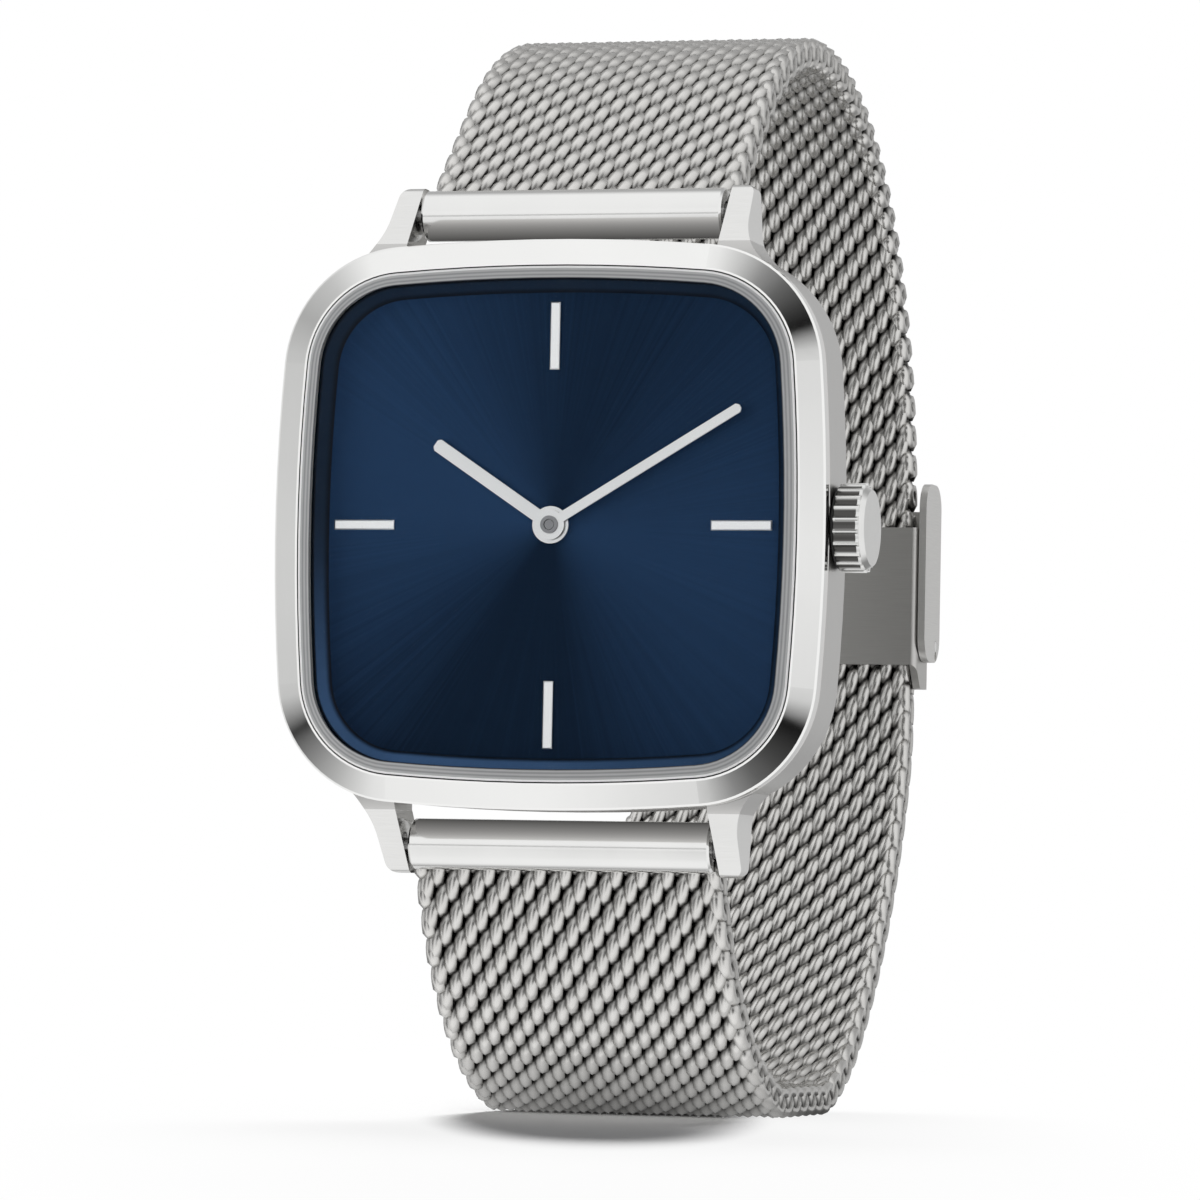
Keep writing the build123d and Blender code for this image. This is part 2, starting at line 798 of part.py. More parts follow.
def train_bridge():
    """Bridge over the wheel train, held by two screws."""
    low = bridge_top - bridge_thickness
    places = bridge_posts + [(0, 0), intermediate_place, rotor_place]
    circles = [Pos(x, y) * Circle(bridge_margin) for x, y in places]
    outline = make_hull([edge for circle in circles for edge in circle.edges()])
    body = slab(outline, low, bridge_top)
    for place in bridge_posts:
        body -= drum(movement_screw_radius, low - overrun, bridge_top + overrun, place)
    for place in ((0, 0), intermediate_place, rotor_place):
        body -= drum(pivot_radius + pivot_clearance, low - overrun, bridge_top + overrun, place)
    return body


def movement_screws():
    """Two bridge screws and the battery clamp's screw."""
    bridge_seat = bridge_top - bridge_thickness
    clamp_seat = battery_top - battery_thickness - clamp_thickness
    seats = [(place, bridge_seat, bridge_thickness) for place in bridge_posts]
    seats.append((clamp_place, clamp_seat, clamp_thickness))
    return [
        slotted_screw(
            movement_screw_head_radius,
            movement_screw_head,
            movement_screw_radius,
            movement_screw_length + through,
            seat,
            place,
        )
        for place, seat, through in seats
    ]


def battery():
    """Button cell with its narrower cap towards the dial."""
    low = battery_top - battery_thickness
    body = drum(battery_radius, low, battery_top - battery_cap_height, battery_place)
    return body + drum(battery_cap_radius, battery_top - battery_cap_height, battery_top, battery_place)


def battery_clamp():
    """Steel strip from its post across the cell."""
    high = battery_top - battery_thickness
    low = high - clamp_thickness
    reach = hypot(battery_x - clamp_post_x, battery_y - clamp_post_y)
    strip = Pos(reach / 2, 0) * Rectangle(reach, clamp_width)
    face = strip + Circle(clamp_width / 2) + Pos(reach, 0) * Circle(clamp_width / 2)
    face -= Circle(movement_screw_radius)
    placed = Pos(*clamp_place) * Rot(0, 0, angle_of(clamp_place, battery_place)) * face
    return slab(placed, low, high)


def circuit_board():
    """Board on the plate beside the battery, cut clear of the clamp post."""
    width = board_end_x - board_start_x
    height = board_end_y - board_start_y
    face = Pos(board_start_x + width / 2, board_start_y + height / 2) * RectangleRounded(
        width, height, board_corner
    )
    return slab(face, plate_bottom - board_thickness, plate_bottom)


def quartz_can():
    """Round can of the quartz crystal, lying on the board."""
    start = quartz_x - quartz_length / 2
    return rod(quartz_radius, start, start + quartz_length, quartz_y, quartz_height)


def coil():
    """Winding on its core, as one sleeve."""
    height = stator_top - stator_thickness - coil_core_thickness / 2
    body = rod(coil_radius, coil_left, coil_right, coil_y, height)
    return body - coil_core()


def coil_core():
    """Flat core whose ends lie on the stator."""
    high = stator_top - stator_thickness
    start = coil_left - coil_core_overhang
    length = coil_right + coil_core_overhang - start
    face = Pos(start + length / 2, coil_y) * Rectangle(length, coil_core_width)
    return slab(face, high - coil_core_thickness, high)


def stator():
    """Soft iron plate round the rotor, with an arm to each end of the core."""
    start = coil_left - coil_core_overhang
    length = coil_right + coil_core_overhang - start
    face = Pos(start + length / 2, stator_bar_y) * Rectangle(length, stator_bar_width)
    arm_low = stator_bar_y - stator_bar_width / 2
    arm_height = coil_y + coil_core_width / 2 - arm_low
    for x in (start + coil_core_overhang / 2, start + length - coil_core_overhang / 2):
        face += Pos(x, arm_low + arm_height / 2) * Rectangle(coil_core_overhang, arm_height)
    face += Pos(*rotor_place) * Circle(stator_ring_radius)
    face -= Pos(*rotor_place) * Circle(stator_hole_radius)
    return slab(face, stator_top - stator_thickness, stator_top)


def arbor(place, high=None):
    """Thin shaft with a pivot in the plate and one in the bridge."""
    body = drum(arbor_radius, bridge_top + slip, plate_bottom - slip, place)
    body += drum(pivot_radius, bridge_top - pivot_length + slip, bridge_top + slip, place)
    return body + drum(pivot_radius, plate_bottom - slip, plate_bottom + pivot_length, place)


def rotor_magnet():
    """Round magnet on the rotor's arbor."""
    low = rotor_magnet_top - rotor_magnet_thickness
    body = drum(rotor_magnet_radius, low, rotor_magnet_top, rotor_place)
    return body - drum(arbor_radius, low - overrun, rotor_magnet_top + overrun, rotor_place)


def rotor_pinion():
    """Rotor arbor with its leaves."""
    turn = mesh_turn(intermediate_turn, intermediate_teeth, rotor_place_angle, rotor_leaves)
    leaves = gear(rotor_leaves, train_module, rotor_leaves_top, rotor_leaves_length, rotor_place, turn)
    return arbor(rotor_place) + leaves


intermediate_leaves_turn = mesh_turn(0, centre_teeth, intermediate_place_angle, intermediate_leaves)
intermediate_turn = intermediate_leaves_turn
minute_turn = mesh_turn(0, cannon_leaves, minute_place_angle, minute_wheel_teeth)
hour_turn = mesh_turn(minute_turn, minute_leaves, minute_place_angle + half_turn, hour_teeth)


def intermediate_wheel():
    """Wheel and leaves between the rotor and the centre wheel."""
    place = intermediate_place
    body = arbor(place)
    body += gear(
        intermediate_teeth, train_module, intermediate_wheel_top, wheel_thickness, place, intermediate_turn
    )
    return body + gear(
        intermediate_leaves,
        train_module,
        intermediate_leaves_top,
        intermediate_leaves_length,
        place,
        intermediate_leaves_turn,
    )


def centre_wheel():
    """Centre wheel on the arbor that carries the cannon pinion."""
    body = drum(centre_arbor_radius, bridge_top + slip, cannon_top - slip)
    body += drum(pivot_radius, bridge_top - pivot_length + slip, bridge_top + slip)
    return body + gear(centre_teeth, train_module, centre_wheel_top, wheel_thickness)


def cannon_pinion():
    """Pipe with leaves, pushed on the centre arbor and carrying the minute hand."""
    low = cannon_leaves_top - cannon_leaves_length
    body = drum(cannon_radius, cannon_leaves_top, cannon_top)
    body += gear(cannon_leaves, motion_module, cannon_leaves_top, cannon_leaves_length)
    body -= drum(centre_arbor_radius, low - overrun, minute_hand_height)
    return body - drum(cannon_bore, minute_hand_height, cannon_top + overrun)


def minute_wheel():
    """Wheel and leaves that carry the motion from the cannon pinion to the hour wheel."""
    low = motion_wheel_top - motion_wheel_thickness
    body = gear(
        minute_wheel_teeth, motion_module, motion_wheel_top, motion_wheel_thickness, minute_place, minute_turn
    )
    top = motion_wheel_top + minute_leaves_length
    body += gear(minute_leaves, hour_module, top, minute_leaves_length, minute_place, minute_turn)
    return body - drum(motion_post_radius + pivot_clearance, low - overrun, top - slip, minute_place)


def hour_wheel():
    """Toothed wheel on the pipe that carries the hour hand."""
    low = hour_wheel_top - wheel_thickness
    bore = cannon_radius + hour_pipe_clearance
    body = gear(hour_teeth, hour_module, hour_wheel_top, wheel_thickness, turn=hour_turn)
    body += drum(hour_pipe_radius, low, hour_hand_height + hand_thickness)
    return body - drum(bore, low - overrun, hour_hand_height + hand_thickness + overrun)


def setting_wheel():
    """Small wheel between the minute wheel and the sliding pinion."""
    low = motion_wheel_top - motion_wheel_thickness
    turn = mesh_turn(minute_turn, minute_wheel_teeth, setting_place_angle, setting_teeth)
    body = gear(
        setting_teeth, motion_module, motion_wheel_top, motion_wheel_thickness, setting_place, turn
    )
    return body - drum(motion_post_radius + pivot_clearance, low - overrun, motion_wheel_top - slip, setting_place)


def bar_tip(side):
    """Sprung end of a spring bar: pin, flange and the shaft inside the shell."""
    body = drum(bar_pin_radius, bar_half, lug_inner + bar_pin_entry)
    body += drum(bar_flange_radius, bar_half, bar_half + bar_flange_width)
    body += drum(bar_shaft_radius, bar_shell_half - bar_shaft_length, bar_half)
    return body if side > 0 else Rot(half_turn, 0, 0) * body


def bar_shell():
    """Tube that holds the two tips and their spring."""
    body = drum(bar_shell_radius, -bar_shell_half, bar_shell_half)
    return body - drum(bar_shell_bore, -bar_shell_half - overrun, bar_shell_half + overrun)


def bar_spring():
    """Coil spring between the tips, as the sleeve that its turns fill."""
    half = bar_shell_half - bar_shaft_length
    return drum(bar_shaft_radius, -half, half) - drum(bar_spring_bore, -half - overrun, half + overrun)


def end_tube():
    """Polished tube that turns on the spring bar and carries the strap."""
    half = lug_inner - end_tube_gap
    body = drum(end_tube_radius, -half, half)
    body = chamfer(body.edges().filter_by(GeomType.CIRCLE), end_tube_edge)
    return body - drum(end_tube_bore, -half - overrun, half + overrun)


def at_bar(shape, end):
    """Lay a spring bar piece across the upper (1) or lower (-1) pair of lugs."""
    return along_x(shape, end * bar_reach, -bar_depth)


def strap_start(heading, run):
    """Start of the first arc on the strap's outer face: distance behind the dial, and out from its centre."""
    turn = radians(heading)
    back = bar_depth - strap_proud * cos(turn) + run * sin(turn)
    out = bar_reach + strap_proud * sin(turn) + run * cos(turn)
    return back, out


def along_leg(back, out, turn, radius, next_turn):
    """End of an arc that starts at a place on the outer face and turns from one heading to another."""
    centre = (back + radius * cos(turn), out - radius * sin(turn))
    return centre, centre[0] - radius * cos(next_turn), centre[1] + radius * sin(next_turn)


def groove_pair(end, back, out, turn):
    """V grooves across both faces of the band where its outer face passes a place at a heading.

    The outer face stays plain where the band is cut flat to stand.
    """
    across = (-cos(turn), sin(turn))
    along = (sin(turn), cos(turn))

    def corner(drop, run):
        reach = (back - across[0] * drop + along[0] * run, out - across[1] * drop + along[1] * run)
        return reach[0], end * reach[1]

    half = rib_groove_width / 2
    grooves = []
    for face, inward in ((0, 1), (strap_thickness, -1)):
        if not face and out > dial_above_floor:
            continue
        mouth = face - inward * slip
        bottom = face + inward * rib_groove_depth
        grooves.append(make_face(Polyline(corner(mouth, -half), corner(bottom, 0), corner(mouth, half), close=True)))
    return grooves


def straight_grooves(end, back, out, turn, start, stop):
    """Evenly spaced grooves on a straight run, between two distances from a place at a heading."""
    count = max(1, round((stop - start) / rib_pitch))
    grooves = []
    for place in range(count):
        run = start + (stop - start) * (place + half_share) / count
        grooves += groove_pair(end, back + run * sin(turn), out + run * cos(turn), turn)
    return grooves


def arc_grooves(end, centre, radius, turn, next_turn):
    """Evenly spaced grooves along an arc of the band."""
    count = max(1, round(radius * (next_turn - turn) / rib_pitch))
    grooves = []
    for place in range(count):
        angle = turn + (next_turn - turn) * (place + half_share) / count
        grooves += groove_pair(end, centre[0] - radius * cos(angle), centre[1] + radius * sin(angle), angle)
    return grooves


def strap_band(end, heading, run, legs, stop):
    """Band along a straight run, arcs that each turn to a heading, and a straight run up to a stop.

    The last arc takes the radius that brings the outer face to the clasp. Grooves across both faces
    mark off the rows of the weave.
    """
    turn = radians(heading)
    back, out = strap_start(heading, run)
    first = (back - run * sin(turn), out - run * cos(turn))

    def spot(centre, radius, angle):
        return centre[0] - radius * cos(angle), end * (centre[1] + radius * sin(angle))

    def edge_pair(centre, radius, low, high):
        angles = (low, (low + high) / 2, high)
        outer = ThreePointArc(*[spot(centre, radius, angle) for angle in angles])
        inner = ThreePointArc(*[spot(centre, radius - strap_thickness, angle) for angle in angles])
        return [outer, inner]

    inner_first = (first[0] + strap_thickness * cos(turn), first[1] - strap_thickness * sin(turn))
    inner_back = (back + strap_thickness * cos(turn), out - strap_thickness * sin(turn))
    edges = [
        Line((inner_first[0], end * inner_first[1]), (first[0], end * first[1])),
        Line((first[0], end * first[1]), (back, end * out)),
        Line((inner_first[0], end * inner_first[1]), (inner_back[0], end * inner_back[1])),
    ]
    grooves = straight_grooves(end, *first, turn, end_tube_radius + strap_proud, run)
    for radius, next_heading in legs:
        next_turn = radians(next_heading)
        reach = radius or (strap_rear - back) / (cos(turn) - cos(next_turn))
        centre, back, out = along_leg(back, out, turn, reach, next_turn)
        edges += edge_pair(centre, reach, turn, next_turn)
        grooves += arc_grooves(end, centre, reach, turn, next_turn)
        turn = next_turn
    grooves += straight_grooves(end, back, out, turn, 0, out - end * stop)
    inner = back - strap_thickness
    edges += [
        Line((back, end * out), (back, stop)),
        Line((inner, end * out), (inner, stop)),
        Line((inner, stop), (back, stop)),
    ]
    return wide(make_face(edges) - grooves, strap_width)


def wide(face, width):
    """Solid of a face drawn as distance behind the dial and height, centred across the strap."""
    return extrude(Plane.YZ * face, width / 2, both=True)


def around_bar(end):
    """Space that an end tube takes in the strap."""
    return Pos(0, bar_depth, end * bar_reach) * Rot(0, quarter_turn, 0) * Cylinder(end_tube_radius, 2 * case_half)


def upper_mesh_strap():
    """Upper half of the woven band."""
    legs = [(upper_near_radius, upper_near_heading), (None, strap_end_heading)]
    band = strap_band(1, upper_heading, upper_run, legs, upper_end_above_dial)
    return band - around_bar(1)


def lower_mesh_strap():
    """Lower half of the woven band, flattened where it stands."""
    legs = [
        (lower_front_radius, lower_front_heading),
        (lower_rest_radius, lower_rest_heading),
        (lower_near_radius, lower_near_heading),
        (lower_far_radius, lower_far_heading),
        (None, strap_end_heading),
    ]
    band = strap_band(-1, lower_heading, lower_run, legs, -lower_end_below_dial)
    floor = Box(2 * case_half, 2 * strap_rear, 2 * overrun, align=(Align.CENTER, Align.CENTER, Align.MAX))
    return band - around_bar(-1) - Pos(0, 0, -dial_above_floor) * floor


clasp_inner = strap_rear - strap_thickness - clasp_face_gap - clasp_plate
clasp_wall_inner = strap_width / 2 + clasp_side_gap
clasp_wall_outer = clasp_wall_inner + clasp_sheet
cover_wall_inner = clasp_wall_outer + cover_gap
cover_wall_outer = cover_wall_inner + clasp_sheet
cover_outer = clasp_inner + cover_depth
hinge_back = cover_outer - hinge_inside_cover
hinge_place = (hinge_back, hinge_height)


def pair_of_walls(face, inner, outer):
    """A wall on each side of the strap, between two distances from its middle."""
    right = extrude(Plane.YZ.offset(inner) * face, outer - inner, dir=(1, 0, 0))
    return right + mirror(right, about=Plane.YZ)


def pin_hole(radius, place):
    """Round hole across the clasp."""
    hole = Pos(0, place[0], place[1]) * Rot(0, quarter_turn, 0)
    return hole * Cylinder(radius, 2 * case_half)


def clasp_base():
    """Slider: inner plate, side walls with tabs, outer bridge and the latch bar."""
    wall_back = clasp_inner + clasp_wall_depth
    tab_back = clasp_inner + clasp_tab_start + clasp_tab_depth
    outline = Polyline(
        (clasp_inner, clasp_plate_top),
        (wall_back, clasp_plate_top),
        (wall_back, clasp_bridge_top),
        (tab_back, clasp_bridge_top),
        (tab_back, clasp_tab_bottom),
        (clasp_inner + clasp_tab_start, clasp_tab_bottom),
        (clasp_inner, clasp_plate_bottom),
        close=True,
    )
    wall = make_face(outline) + Pos(*hinge_place) * Circle(lock_hub_radius)
    wall += Pos(hinge_back - lock_hub_radius / 2, hinge_height) * Rectangle(lock_hub_radius, 2 * lock_hub_radius)
    body = pair_of_walls(wall, clasp_wall_inner, clasp_wall_outer)
    plate_height = clasp_plate_top - clasp_plate_bottom
    plate = Pos(clasp_inner + clasp_plate / 2, clasp_plate_bottom + plate_height / 2) * Rectangle(
        clasp_plate, plate_height
    )
    body += wide(plate, 2 * clasp_wall_outer)
    bridge_back = strap_rear + clasp_bridge_gap
    bridge_height = clasp_bridge_top - clasp_tab_bottom
    bridge = Pos(bridge_back + clasp_sheet / 2, clasp_tab_bottom + bridge_height / 2) * Rectangle(
        clasp_sheet, bridge_height
    )
    body += wide(bridge, 2 * clasp_wall_outer)
    latch = Pos(clasp_inner + latch_bar_depth, latch_bar_height) * Circle(latch_bar_radius)
    body += wide(latch, 2 * clasp_wall_inner + clasp_sheet)
    folds = body.edges().filter_by(Axis.Z).group_by(Axis.Y)[0]
    body = fillet(folds, clasp_sheet)
    return body - pin_hole(hinge_pin_radius, hinge_place)


def clasp_cover():
    """Lid over the slider: outer plate and two side walls with round ends."""
    height = cover_top - cover_bottom
    middle = (clasp_inner + cover_depth / 2, cover_bottom + height / 2)
    wall = Pos(*middle) * RectangleRounded(cover_depth, height, cover_end_radius)
    body = pair_of_walls(wall, cover_wall_inner, cover_wall_outer)
    plate_high = cover_top - cover_end_radius
    plate_height = plate_high - cover_plate_bottom
    plate = Pos(cover_outer - clasp_sheet / 2, cover_plate_bottom + plate_height / 2) * Rectangle(
        clasp_sheet, plate_height
    )
    body += wide(plate, 2 * cover_wall_outer)
    dimple = (hinge_back, hinge_height - cover_dimple_drop)
    for side in (1, -1):
        x = side * (cover_wall_outer - cover_dimple_depth / 2)
        disc = Rot(0, quarter_turn, 0) * Cylinder(cover_dimple_radius, cover_dimple_depth)
        body -= Pos(x, dimple[0], dimple[1]) * disc
    return body - pin_hole(hinge_pin_radius + hinge_clearance, hinge_place)


def cover_hinge_pin():
    """Pin through the slider's walls and the cover's walls."""
    return wide(Pos(*hinge_place) * Circle(hinge_pin_radius), 2 * cover_wall_outer)


def lock_bar():
    """Cam on the cover's hinge that presses on the woven band when the cover is shut."""
    reach = hinge_back - strap_rear - lock_gap
    toe = Pos(hinge_back - reach / 2, hinge_height) * Rectangle(reach, lock_hub_radius)
    neck_height = cover_plate_bottom + clasp_sheet - hinge_height
    neck_back = cover_outer - clasp_sheet
    neck_width = neck_back - hinge_back
    neck = Pos(hinge_back + neck_width / 2, hinge_height + neck_height / 2) * Rectangle(neck_width, neck_height)
    face = toe + neck + Pos(*hinge_place) * Circle(lock_hub_radius)
    face -= Pos(*hinge_place) * Circle(hinge_pin_radius + hinge_clearance)
    return wide(face, 2 * (clasp_wall_inner - lock_bar_side_gap))


def strap_end_hook():
    """Fitting at the end of the upper strap: a tongue with a rolled lip."""
    back = clasp_inner + hook_depth
    height = upper_end_above_dial - hook_lip_height
    tongue = Pos(back + hook_thickness / 2, hook_lip_height + height / 2) * Rectangle(hook_thickness, height)
    lip = Pos(back + hook_thickness / 2, hook_lip_height) * Circle(hook_lip_radius)
    return wide(tongue + lip, hook_width)


# Where the dial stands over the patch that the strap rests on
front_turn = radians(lower_front_heading)
near_back, near_out = strap_start(lower_heading, lower_run)
_, front_back, front_out = along_leg(
    near_back, near_out, radians(lower_heading), lower_front_radius, front_turn
)
_, patch_behind_dial, lowest_reach = along_leg(
    front_back, front_out, front_turn, lower_rest_radius, radians(quarter_turn)
)
dial_above_floor = lowest_reach - patch_depth

HEAD = Plane(origin=(0, -patch_behind_dial, dial_above_floor), x_dir=(1, 0, 0), z_dir=(0, -1, 0))
STRAP = Pos(0, -patch_behind_dial, dial_above_floor)

head_pieces = {
    "mid_case": mid_case(),
    "bezel": bezel(),
    "crystal": crystal(),
    "crystal_gasket": crystal_gasket(),
    "rehaut": rehaut(),
    "dial": dial(),
    "hour_markers": hour_markers(),
    "hour_hand": hand(
        hour_hand_length,
        hour_hand_width,
        hour_boss_radius,
        hour_pipe_radius,
        hour_hand_height,
        hour_hand_angle,
    ),
    "minute_hand": hand(
        minute_hand_length,
        minute_hand_width,
        minute_boss_radius,
        cannon_radius,
        minute_hand_height,
        minute_hand_angle,
    ),
    "case_back": case_back(),
    "back_gasket": back_gasket(),
    "back_screws": back_screws(),
    "crown": crown(),
    "crown_tube": crown_tube(),
    "crown_gasket": crown_gasket(),
    "winding_stem": winding_stem(),
    "sliding_pinion": sliding_pinion(),
    "setting_lever": setting_lever(),
    "movement_holder": movement_holder(),
    "main_plate": main_plate(),
    "train_bridge": train_bridge(),
    "movement_screws": movement_screws(),
    "battery": battery(),
    "battery_clamp": battery_clamp(),
    "circuit_board": circuit_board(),
    "quartz_can": quartz_can(),
    "coil": coil(),
    "coil_core": coil_core(),
    "stator": stator(),
    "rotor_magnet": rotor_magnet(),
    "rotor_pinion": rotor_pinion(),
    "intermediate_wheel": intermediate_wheel(),
    "centre_wheel": centre_wheel(),
    "cannon_pinion": cannon_pinion(),
    "minute_wheel": minute_wheel(),
    "hour_wheel": hour_wheel(),
    "setting_wheel": setting_wheel(),
}
for end_name, end in (("upper", 1), ("lower", -1)):
    head_pieces[f"{end_name}_end_tube"] = at_bar(end_tube(), end)
    head_pieces[f"{end_name}_bar_shell"] = at_bar(bar_shell(), end)
    head_pieces[f"{end_name}_bar_spring"] = at_bar(bar_spring(), end)
    for side_name, side in (("right", 1), ("left", -1)):
        head_pieces[f"{end_name}_{side_name}_bar_tip"] = at_bar(bar_tip(side), end)

strap_pieces = {
    "upper_mesh_strap": upper_mesh_strap(),
    "lower_mesh_strap": lower_mesh_strap(),
    "clasp_base": clasp_base(),
    "clasp_cover": clasp_cover(),
    "cover_hinge_pin": cover_hinge_pin(),
    "lock_bar": lock_bar(),
    "strap_end_hook": strap_end_hook(),
}

os.makedirs("parts", exist_ok=True)
for place, pieces in ((HEAD, head_pieces), (STRAP, strap_pieces)):
    for name, shape in pieces.items():
        solids = shape if isinstance(shape, list) else [shape]
        placed = [place * solid for solid in solids]
        result = placed[0] if len(placed) == 1 else Compound(children=placed)
        export_step(result, os.path.join("parts", name + ".step"))
print("dial centre behind the patch", round(-patch_behind_dial, 3), "above the floor", round(dial_above_floor, 3))
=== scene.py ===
"""Square wristwatch on a woven wire strap: woven bands, finishes, studio and camera."""
import logging
from collections.abc import Callable
from dataclasses import dataclass, field
from enum import Enum
from math import cos, pi, radians, sin

import bpy
import numpy as np
from mathutils import Matrix


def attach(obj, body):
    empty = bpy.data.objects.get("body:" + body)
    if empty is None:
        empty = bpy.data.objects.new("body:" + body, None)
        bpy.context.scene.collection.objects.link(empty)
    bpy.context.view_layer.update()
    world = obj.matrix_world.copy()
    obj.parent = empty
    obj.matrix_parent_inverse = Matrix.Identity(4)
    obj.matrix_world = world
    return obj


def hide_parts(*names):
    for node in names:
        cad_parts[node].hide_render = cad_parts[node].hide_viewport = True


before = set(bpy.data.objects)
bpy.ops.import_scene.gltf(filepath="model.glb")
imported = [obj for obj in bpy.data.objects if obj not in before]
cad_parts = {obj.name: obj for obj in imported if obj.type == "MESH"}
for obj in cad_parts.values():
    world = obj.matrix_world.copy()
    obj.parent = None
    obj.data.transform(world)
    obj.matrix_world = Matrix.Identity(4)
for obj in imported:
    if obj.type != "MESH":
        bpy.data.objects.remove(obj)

log = logging.getLogger("watch")

MM = 0.001
PER_METRE = 1000.0
DIAL_CENTRE = np.array([0.0, -26.165, 33.388]) * MM
Colour = tuple[float, float, float]
Vector = tuple[float, float, float]
Pair = tuple[float, float]
BLACK: Colour = (0.0, 0.0, 0.0)
WHITE: Colour = (1.0, 1.0, 1.0)


# Shader building


class Socket:
    """A shader value that takes part in Python arithmetic and adds the Math nodes for it."""

    def __init__(self, shader: "Shader", link: bpy.types.NodeSocket) -> None:
        """Wrap a node's output socket of one shader."""
        self.shader = shader
        self.link = link

    def _math(self, operation: str, *terms: "Socket | float") -> "Socket":
        """Add a Math node on terms given in order and return its result."""
        return self.shader.node("ShaderNodeMath", {"operation": operation}, list(terms))["Value"]

    def __add__(self, other: "Socket | float") -> "Socket":
        """Sum."""
        return self._math("ADD", self, other)

    __radd__ = __add__

    def __sub__(self, other: "Socket | float") -> "Socket":
        """Difference."""
        return self._math("SUBTRACT", self, other)

    def __rsub__(self, other: float) -> "Socket":
        """Difference from a number."""
        return self._math("SUBTRACT", other, self)

    def __mul__(self, other: "Socket | float") -> "Socket":
        """Product."""
        return self._math("MULTIPLY", self, other)

    __rmul__ = __mul__

    def __truediv__(self, other: "Socket | float") -> "Socket":
        """Quotient."""
        return self._math("DIVIDE", self, other)

    def __pow__(self, other: float) -> "Socket":
        """Power."""
        return self._math("POWER", self, other)

    def __abs__(self) -> "Socket":
        """Size without sign."""
        return self._math("ABSOLUTE", self)

    def __gt__(self, other: "Socket | float") -> "Socket":
        """One where the value is larger, else nought."""
        return self._math("GREATER_THAN", self, other)

    def __lt__(self, other: "Socket | float") -> "Socket":
        """One where the value is smaller, else nought."""
        return self._math("LESS_THAN", self, other)

    def cos(self) -> "Socket":
        """Cosine of the value in radians."""
        return self._math("COSINE", self)

    def angle_to(self, other: "Socket") -> "Socket":
        """Angle whose tangent is this value over the other."""
        return self._math("ARCTAN2", self, other)

    def clamp(self) -> "Socket":
        """Value kept between nought and one."""
        return self._math("MINIMUM", self._math("MAXIMUM", self, 0.0), 1.0)

    def ramp(self, low: float, high: float) -> "Socket":
        """Smooth rise.

        Args:
            low: the value up to which the result is nought.
            high: the value from which it is one.

        Returns:
            The risen share.
        """
        settings = {"interpolation_type": "SMOOTHSTEP"}
        inputs = {"Value": self, "From Min": low, "From Max": high}
        return self.shader.node("ShaderNodeMapRange", settings, inputs)["Result"]


def factor(outputs: dict[str, Socket]) -> Socket:
    """Factor among a node's outputs, under either of its names."""
    return outputs.get("Fac") or outputs["Factor"]


